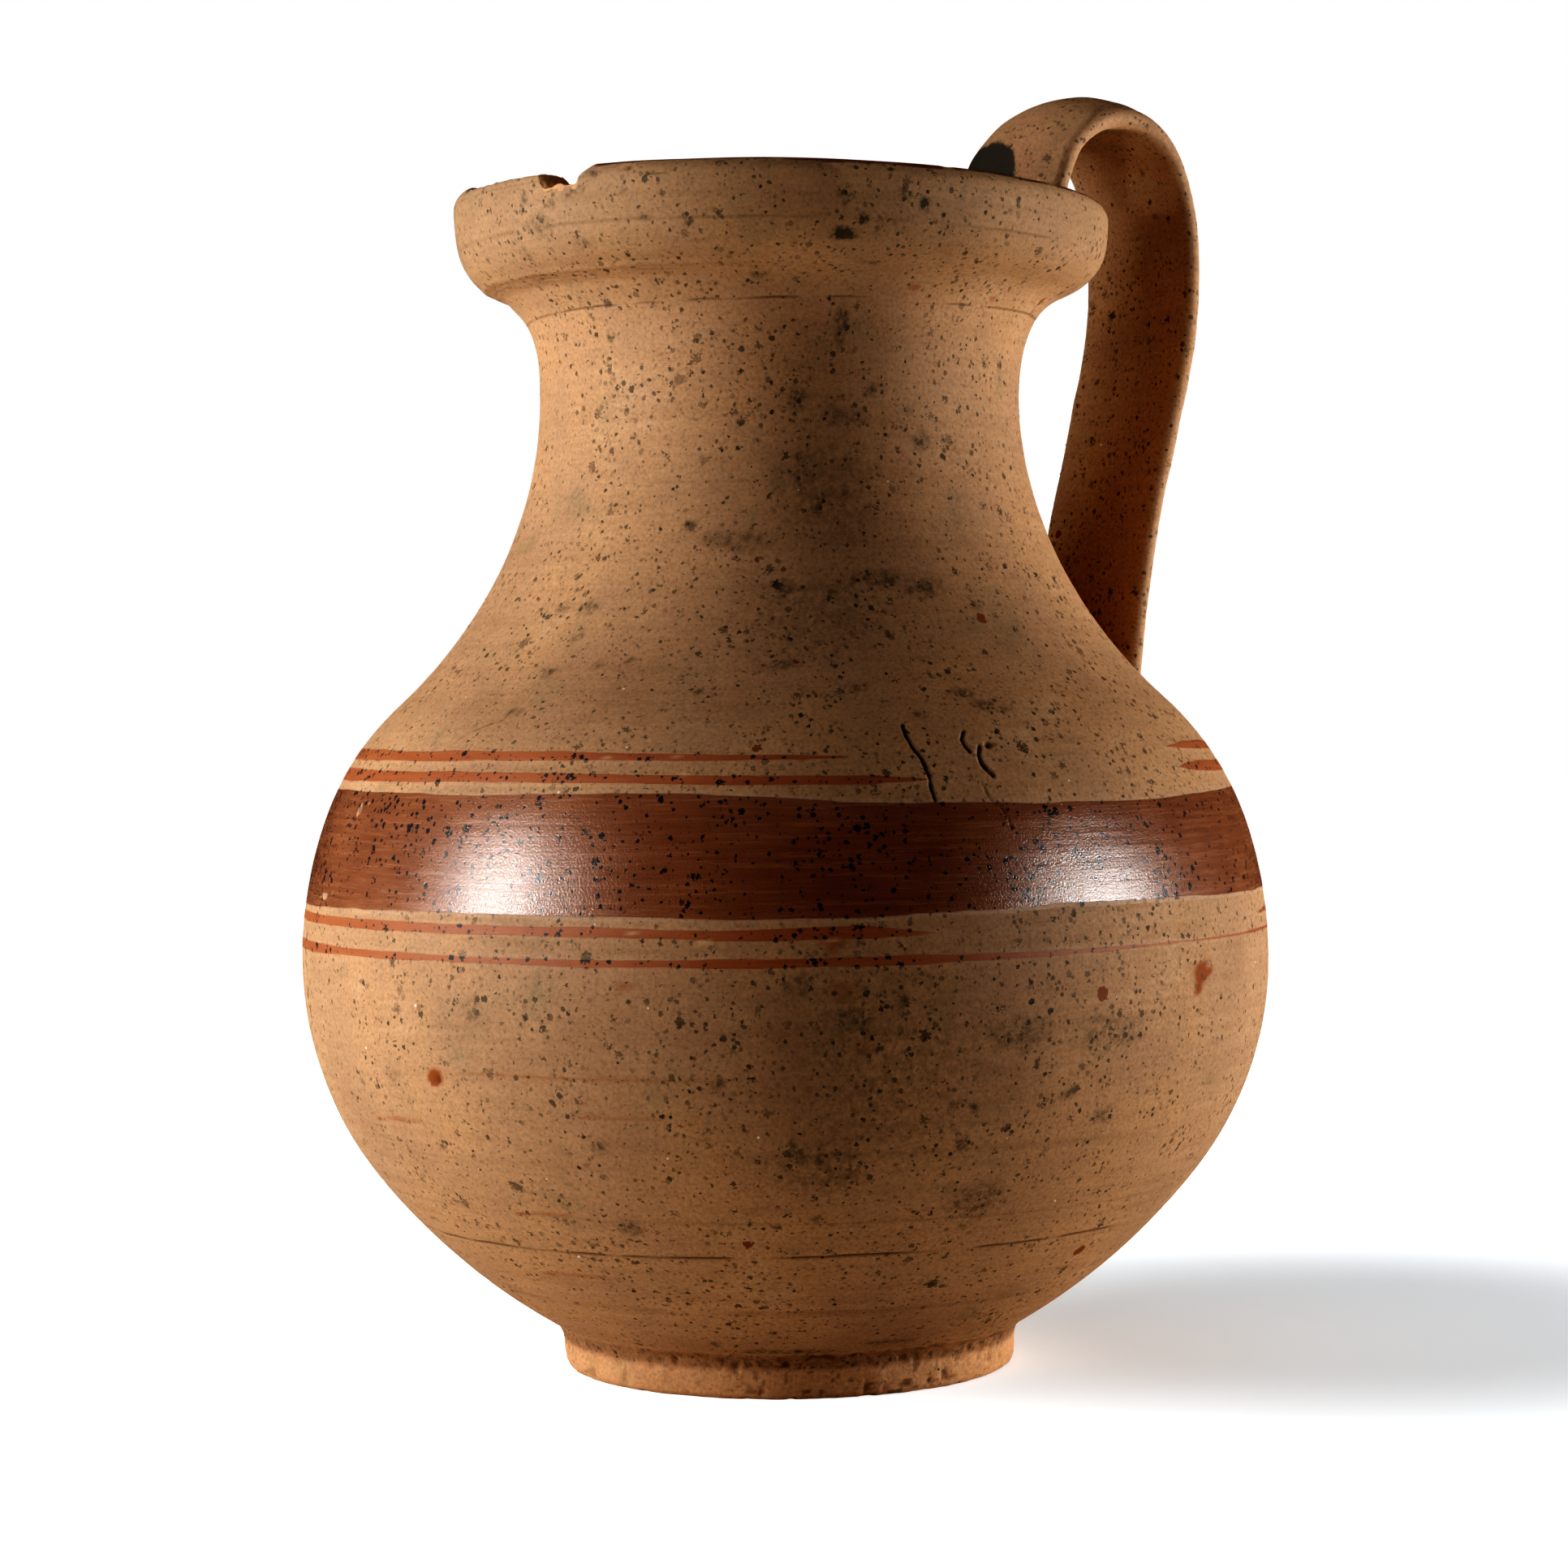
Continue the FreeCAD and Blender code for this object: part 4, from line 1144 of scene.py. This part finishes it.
def fired_clay(tree):
    """Colour, roughness and relief of low-fired clay: a matt, thirsty surface that is mottled where
    the kiln was hotter or smokier, drawn out in faint rings by the wheel, and full of dark grit."""
    mm = mm_space(tree)
    rings = mm_space(tree, (0.05, 0.05, 1.0))
    noise = noises(
        tree,
        (
            ("cloud", mm, 30.0, 5.0, 0.6),
            ("smoke", mm, 17.0, 7.0, 0.72),
            ("crowd", mm, 15.0, 3.0, 0.5),
            ("broken", mm, 1.6, 5.0, 0.75),
            ("streak", rings, 1.5, 6.0, 0.65),
            ("grain", mm, 0.7, 4.0, 0.7),
            ("shape", mm, 0.6, 3.0, 0.6),
        ),
    )
    noise["smoke"].inputs["Distortion"].default_value = 0.6
    known = mesh_values(tree, "greyed_and_shaded", "rust", "smudge", "paler_clay", "dirt")

    # the clay as it was fired
    base = put(
        tree, "ShaderNodeValToRGB", {"Fac": noise["cloud"]},
        ((0.28, "AE8B6E"), (0.46, "BA9677"), (0.6, "C29B78"), (0.78, "CCA888")),
    )
    streaks = put(
        tree, "ShaderNodeValToRGB", {"Fac": noise["streak"]}, ((0.3, 0.84), (0.5, 1.0), (0.72, 1.10))
    )
    ringed = put(
        tree, "ShaderNodeMix", {"Factor": 0.45, "A": base, "B": streaks},
        data_type="RGBA", blend_type="MULTIPLY",
    )
    smoked = put(tree, "ShaderNodeValToRGB", {"Fac": noise["smoke"]}, ((0.54, 0.0), (0.76, 0.5)))
    smoked.color_ramp.interpolation = "EASE"
    shaded = layered(tree, ringed, [(smoked, linear("8F8468"))])
    speckle = put(
        tree, "ShaderNodeValToRGB", {"Fac": noise["grain"]}, ((0.30, 0.66), (0.5, 1.0), (0.7, 1.18))
    )
    grained = put(
        tree, "ShaderNodeMix", {"Factor": 0.7, "A": shaded, "B": speckle},
        data_type="RGBA", blend_type="MULTIPLY",
    )

    # rust, smudges, and the dark patch on the strap's root
    rusty = put(tree, "ShaderNodeMath", {0: noise["streak"], 1: 1.9}, operation="MULTIPLY")
    rusted = put(
        tree, "ShaderNodeMath", {0: rusty, 1: known["rust"]}, operation="MULTIPLY", use_clamp=True
    )
    blotted = put(tree, "ShaderNodeValToRGB", {"Fac": noise["broken"]}, ((0.42, 0.15), (0.60, 1.0)))
    dark_blots = put(tree, "ShaderNodeMath", {0: blotted, 1: 1.6}, operation="MULTIPLY")
    smudged = put(
        tree, "ShaderNodeMath",
        {0: dark_blots, 1: known["smudge"]}, operation="MULTIPLY", use_clamp=True,
    )
    # near black where the smudge value passes 1, most of all on the strap's dark patch
    black = put(
        tree, "ShaderNodeMath", {0: known["smudge"], 1: 1.0}, operation="SUBTRACT", use_clamp=True
    )

    # grit, with ragged outlines
    bent = put(
        tree, "ShaderNodeVectorMath",
        {0: noise["shape"].outputs["Color"], 1: (0.5, 0.5, 0.5)}, operation="SUBTRACT",
    )
    ragged, torn = (
        put(
            tree, "ShaderNodeVectorMath",
            {0: mm, 1: put(tree, "ShaderNodeVectorMath", {0: bent, 3: far}, operation="SCALE")},
            operation="ADD",
        )
        for far in (1.2, 3.4)
    )
    crowded = put(tree, "ShaderNodeValToRGB", {"Fac": noise["crowd"]}, ((0.34, 0.62), (0.66, 1.15)))
    crowded = put(
        tree, "ShaderNodeMath", {0: known["smudge"], 1: 0.6, 2: crowded}, operation="MULTIPLY_ADD"
    )
    grit = specks(tree, ragged, 1.15, 0.50, 1.1, crowded, 0.15)
    for where, spacing, largest, rarity, faintest in (
        (ragged, 1.95, 0.68, 1.5, 0.3), (torn, 3.5, 0.95, 2.0, 0.4), (torn, 8.0, 1.4, 2.4, 0.5)
    ):
        larger = specks(tree, where, spacing, largest, rarity, crowded, faintest)
        grit = put(tree, "ShaderNodeMath", {0: grit, 1: larger}, operation="MAXIMUM")
    grit_tone = put(
        tree, "ShaderNodeValToRGB", {"Fac": noise["broken"]},
        ((0.35, "4B4339"), (0.5, "655A4B"), (0.65, "7F6D58")),
    )
    red_grain = specks(tree, ragged, 17.0, 1.7, 4.0, crowded)
    mica = specks(tree, mm, 5.2, 0.34, 2.0, crowded)
    pale = put(
        tree, "ShaderNodeVectorMath", {0: grained, 1: (1.32, 1.24, 1.14)}, operation="MULTIPLY"
    )
    shaded = layered(
        tree,
        grained,
        (
            # the collar's greyer tone, partly painted shade
            (known["greyed_and_shaded"], linear("7D745E")),
            (rusted, linear("9C5E38")),
            (smudged, linear("5F5646")),
            (grit, grit_tone),
            (red_grain, linear("8E5A3C")),
            (mica, linear("EADFCB")),
            # paler clay: fresh breaks and scuffs, and on the foot partly painted light
            (known["paler_clay"], pale),
            (known["dirt"], linear("5A4636")),
            (black, linear("544E46")),
        ),
    )

    gloss = put(tree, "ShaderNodeValToRGB", {"Fac": noise["streak"]}, ((0.3, 0.74), (0.7, 0.60)))
    relief = put(tree, "ShaderNodeMath", {0: noise["grain"], 1: 0.4}, operation="MULTIPLY")
    for height, part in ((noise["streak"], 0.5), (grit, -0.3)):
        relief = put(tree, "ShaderNodeMath", {0: height, 1: part, 2: relief}, operation="MULTIPLY_ADD")
    return shaded, gloss, relief, grit


def new_material(name):
    """A material and its empty tree."""
    made = bpy.data.materials.new(name)
    made.use_nodes = True
    made.node_tree.nodes.clear()
    return made, made.node_tree


def clay_material(name):
    """Fired clay, wiped smooth with a wet hand and never glazed: matt, with a faint dull sheen."""
    made, tree = new_material(name)
    colour, gloss, relief, _ = fired_clay(tree)
    bump = put(tree, "ShaderNodeBump", {"Height": relief, "Strength": 0.8, "Distance": 0.22 * MM})
    shader = put(
        tree, "ShaderNodeBsdfPrincipled",
        {"Base Color": colour, "Roughness": gloss, "Normal": bump, "IOR": 1.5, "Specular IOR Level": 0.2},
    )
    put(tree, "ShaderNodeOutputMaterial", {"Surface": shader})
    return made


def slip_material(name, thick, thin, roughness, solid_cover, polish):
    """Iron-red slip brushed on as the jug turned: dense where the brush was full, thin and orange
    where it ran dry, flecked with the grit beneath. A broad band is burnished to a waxy gloss."""
    made, tree = new_material(name)
    clay, clay_gloss, clay_relief, grit = fired_clay(tree)
    mm = mm_space(tree)
    brushed = mm_space(tree, (0.04, 0.04, 1.0))
    noise = noises(
        tree,
        (
            ("tone", mm, 26.0, 4.0, 0.6),
            ("dry", brushed, 1.1, 6.0, 0.8),
            ("strokes", brushed, 0.8, 5.0, 0.7),
            ("frayed", brushed, 0.45, 4.0, 0.75),
            ("peel", mm, 0.4, 3.0, 0.65),
        ),
    )
    known = mesh_values(tree, "dirt", "inside_edge", "took", "paler_clay")

    # where the slip covers the clay: inside its frayed edge, and where the brush had not run dry
    fray = put(tree, "ShaderNodeMath", {0: noise["frayed"], 1: 0.5}, operation="SUBTRACT")
    edge = put(
        tree, "ShaderNodeMath", {0: fray, 1: 0.9, 2: known["inside_edge"]}, operation="MULTIPLY_ADD"
    )
    filled = put(
        tree, "ShaderNodeMath", {0: known["took"], 1: 0.42, 2: solid_cover}, operation="MULTIPLY_ADD"
    )
    wet = put(tree, "ShaderNodeMath", {0: filled, 1: noise["dry"]}, operation="SUBTRACT")
    within, whole = (
        put(
            tree, "ShaderNodeMapRange",
            {"Value": value, "From Min": low, "From Max": high}, interpolation_type="SMOOTHSTEP",
        )
        for value, low, high in ((edge, -0.06, 0.22), (wet, -0.02, 0.10))
    )
    cover = put(tree, "ShaderNodeMath", {0: within, 1: whole}, operation="MULTIPLY")

    blended = put(
        tree, "ShaderNodeMix",
        {"Factor": 0.5, "A": noise["strokes"], "B": noise["tone"]}, data_type="FLOAT",
    )
    colour = put(tree, "ShaderNodeValToRGB", {"Fac": blended}, ((0.28, thick), (0.74, thin)))
    grit_seen = put(tree, "ShaderNodeMath", {0: grit, 1: 2.4}, operation="MULTIPLY", use_clamp=True)
    colour = layered(
        tree, colour, ((grit_seen, linear("3A393B")), (known["dirt"], linear("4A3428")))
    )
    seen = layered(tree, clay, ((cover, colour), (known["paler_clay"], linear("D2AC86"))))
    waxy = put(
        tree, "ShaderNodeValToRGB", {"Fac": noise["strokes"]},
        ((0.35, roughness), (0.7, roughness + 0.10)),
    )
    peel = put(tree, "ShaderNodeMath", {0: noise["peel"], 1: 1.1}, operation="MULTIPLY")
    slip_relief = put(
        tree, "ShaderNodeMath", {0: noise["strokes"], 1: 0.8, 2: peel}, operation="MULTIPLY_ADD"
    )
    gloss, relief = (
        put(tree, "ShaderNodeMix", {"Factor": cover, "A": under, "B": coat}, data_type="FLOAT")
        for under, coat in ((clay_gloss, waxy), (clay_relief, slip_relief))
    )
    bump = put(tree, "ShaderNodeBump", {"Height": relief, "Strength": 0.9, "Distance": 0.075 * MM})
    shader = put(
        tree, "ShaderNodeBsdfPrincipled",
        {"Base Color": seen, "Roughness": gloss, "Normal": bump, "IOR": 1.5, "Specular IOR Level": polish},
    )
    put(tree, "ShaderNodeOutputMaterial", {"Surface": shader})
    return made


def grit_material(name):
    """Crushed dark rock in the clay: near-black grains, dull, here and there a brown one."""
    made, tree = new_material(name)
    mm = mm_space(tree)
    tone = put(tree, "ShaderNodeTexNoise", {"Vector": mm, "Scale": 1.0 / 3.0, "Detail": 1.0})
    colour = put(
        tree, "ShaderNodeValToRGB", {"Fac": tone},
        ((0.35, "453D33"), (0.55, "554A3D"), (0.7, "735B44")),
    )
    shader = put(tree, "ShaderNodeBsdfPrincipled", {"Base Color": colour, "Roughness": 0.62, "IOR": 1.55})
    put(tree, "ShaderNodeOutputMaterial", {"Surface": shader})
    return made


clay = clay_material("fired_terracotta")
burnished_slip = slip_material("burnished_red_slip", "7C5340", "AF7A5A", 0.21, 0.62, 0.55)
brushed_slip = slip_material("brushed_red_slip", "9E6043", "B67852", 0.50, 0.42, 0.3)
lip_slip = slip_material("worn_lip_slip", "6E4636", "8F6350", 0.55, 0.36, 0.2)
grit = grit_material("dark_rock_grit")

rings = throwing_tree()
grains = grit_tree()
pieces = {}


def finish_piece(made, material, node_names):
    """Gives a piece its material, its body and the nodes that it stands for."""
    if not made.data.materials or made.data.materials[0] is None:
        made.data.materials.clear()
        made.data.materials.append(material)
    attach(made, "root")
    if node_names:
        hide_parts(*node_names)
    pieces[made.name] = made


def gritty(piece):
    """Grains that stand out of a piece's clay, as a piece of their own."""
    made = bpy.data.objects.new(piece.name + "_grit", piece.data.copy())
    scene.collection.objects.link(made)
    grown(made, grains, material=grit)
    finish_piece(made, grit, ())


for name, node, depth in (
    ("thrown_bowl", "lower_bowl", ring_depth),
    ("thrown_belly", "belly_wall", ring_depth),
    ("thrown_neck", "neck_wall", ring_depth),
    ("thrown_collar", "rim_collar", 0.8 * ring_depth),
):
    made = thrown_piece(name, node)
    grown(made, rings, ring_depth=depth, material=clay)
    finish_piece(made, clay, (node,))
    gritty(made)

for name, node, slip in (
    ("painted_upper_line", "slip_upper_line_a", brushed_slip),
    ("painted_second_line", "slip_upper_line_b", brushed_slip),
    ("painted_broad_band", "slip_broad_band", burnished_slip),
    ("painted_third_line", "slip_lower_line_a", brushed_slip),
    ("painted_lowest_line", "slip_lower_line_b", brushed_slip),
):
    made = painted_band(name, node)
    grown(made, rings, material=slip)
    finish_piece(made, slip, (node,))

made = painted_lip("painted_lip")
grown(made, rings, ring_depth=0.8 * ring_depth, material=lip_slip)
finish_piece(made, lip_slip, ("slip_lip",))

made = foot_piece("turned_foot")
finish_piece(made, clay, ("foot_ring",))
gritty(made)

made = pulled_strap("pulled_strap")
finish_piece(made, clay, ("handle_strap", "rim_luting", "shoulder_luting"))
gritty(made)

# White paper under the jug. The camera sees it glow white, less so round a spot to the right of the jug: a
# painted shadow, added to the shadow that the jug casts on it
floor_half = 4.0
white = (1.0, 1.0, 1.0, 1.0)
painted_shadow_bearing = math.radians(340.0)
painted_shadow_middle = Vector((math.cos(painted_shadow_bearing), math.sin(painted_shadow_bearing), 0.0)) * 120.0 * MM
corners = ((-1, -1), (1, -1), (1, 1), (-1, 1))
floor_mesh = bpy.data.meshes.new("pale_floor")
floor_mesh.from_pydata([(x * floor_half, y * floor_half, 0) for x, y in corners], [], [(0, 1, 2, 3)])
floor = bpy.data.objects.new("pale_floor", floor_mesh)
scene.collection.objects.link(floor)
paper, tree = new_material("white_paper")
seen = put(tree, "ShaderNodeLightPath")
place = put(tree, "ShaderNodeTexCoord")
away = put(
    tree, "ShaderNodeVectorMath",
    {0: place.outputs["Object"], 1: painted_shadow_middle}, operation="DISTANCE",
)
# The glow for the camera's rays, weaker near the painted shadow's middle: a painted shadow on the floor
floor_glow_with_painted_shadow = put(
    tree, "ShaderNodeMapRange",
    {"Value": away, "From Min": 0.05, "From Max": 0.165, "To Min": 0.35, "To Max": 1.0},
    interpolation_type="SMOOTHSTEP",
)
matt = put(tree, "ShaderNodeBsdfDiffuse", {"Color": (0.72, 0.79, 0.85, 1.0)})
warm = put(tree, "ShaderNodeBsdfDiffuse", {"Color": (0.86, 0.81, 0.74, 1.0)})
lifted = put(tree, "ShaderNodeEmission", {"Color": white, "Strength": floor_glow_with_painted_shadow})
both = put(tree, "ShaderNodeAddShader", {0: matt, 1: lifted})
picked = put(tree, "ShaderNodeMixShader", {0: seen.outputs["Is Camera Ray"], 1: warm, 2: both})
put(tree, "ShaderNodeOutputMaterial", {"Surface": picked})
floor_mesh.materials.append(paper)

# A white room behind, which hardly lights the jug
world = bpy.data.worlds.new("white_room")
scene.world = world
world.use_nodes = True
tree = world.node_tree
tree.nodes.clear()
seen = put(tree, "ShaderNodeLightPath")
bright = put(tree, "ShaderNodeBackground", {"Color": white, "Strength": 1.0})
dim = put(tree, "ShaderNodeBackground", {"Color": white, "Strength": 0.006})
picked = put(tree, "ShaderNodeMixShader", {0: seen.outputs["Is Camera Ray"], 1: dim, 2: bright})
put(tree, "ShaderNodeOutputWorld", {"Surface": picked})


def soft_light(
    name, from_camera, rise, away, side, power,
    tall=1.0, shines=True, fills=True, aim=(0.0, 0.0, 0.12), spread=180.0,
):
    """A soft light, by its bearing from the camera's and its rise over the floor, some times as
    tall as it is wide. It may only shine on what is glossy, or only fill what is matt."""
    bearing = math.radians(camera_bearing + from_camera)
    level = away * math.cos(math.radians(rise))
    up = away * math.sin(math.radians(rise))
    aim = Vector(aim)
    place = aim + Vector((level * math.cos(bearing), level * math.sin(bearing), up))
    lamp = bpy.data.lights.new(name, "AREA")
    lamp.shape = "RECTANGLE"
    lamp.size = side
    lamp.size_y = side * tall
    lamp.energy = power
    lamp.spread = math.radians(spread)
    made = bpy.data.objects.new(name, lamp)
    made.location = place
    made.rotation_euler = (aim - place).to_track_quat("-Z", "Y").to_euler()
    made.visible_glossy = shines
    made.visible_diffuse = fills
    scene.collection.objects.link(made)


soft_light("window_left", -84.0, 5.0, 0.75, 0.25, 2.75, shines=False)
soft_light("window_left_top", -75.0, 28.0, 0.75, 0.25, 1.95, shines=False)
soft_light("window_left_sill", -76.0, -4.0, 0.75, 0.20, 2.75, shines=False)
soft_light("window_left_shine", -66.0, 10.0, 0.60, 0.065, 4.2, tall=2.3, fills=False)
soft_light("window_right", 84.0, -2.0, 0.75, 0.25, 2.6, shines=False)
soft_light("window_right_far", 108.0, -1.0, 0.75, 0.25, 4.3, shines=False)
soft_light("window_right_shine", 75.0, 5.0, 0.80, 0.14, 7.0, fills=False)
soft_light("overhead", 20.0, 75.0, 1.40, 1.00, 3.0)
soft_light("arch_catch", -25.0, -3.0, 0.75, 0.02, 0.0011, shines=False, aim=(0.086, 0.0, 0.25), spread=4.5)

away = math.radians(camera_bearing)
stand = Vector((camera_distance * math.cos(away), camera_distance * math.sin(away), camera_height)) * MM
look = Vector((-math.cos(away), -math.sin(away), -math.tan(math.radians(camera_dip))))
eye = bpy.data.cameras.new("camera")
eye.lens = lens
eye.sensor_width = sensor
eye.sensor_fit = "HORIZONTAL"
eye.clip_start = 0.02
camera = bpy.data.objects.new("camera", eye)
turned = look.to_track_quat("-Z", "Y").to_matrix() @ Matrix.Rotation(math.radians(-camera_roll), 3, "Z")
camera.matrix_world = Matrix.Translation(stand) @ turned.to_4x4()
scene.collection.objects.link(camera)
scene.camera = camera
scene.view_settings.view_transform = "Standard"
scene.view_settings.use_curve_mapping = True
printed = scene.view_settings.curve_mapping
line = printed.curves[3]
for light in (0.02, 0.05, 0.1, 0.18, 0.28, 0.4, 0.55, 0.75):
    line.points.new(light, math.exp(print_steepness / print_contrast * (1.0 - light**-print_contrast)))
printed.update()

bpy.context.view_layer.update()
for made in pieces.values():
    print(made.name, len(made.data.polygons), "faces")
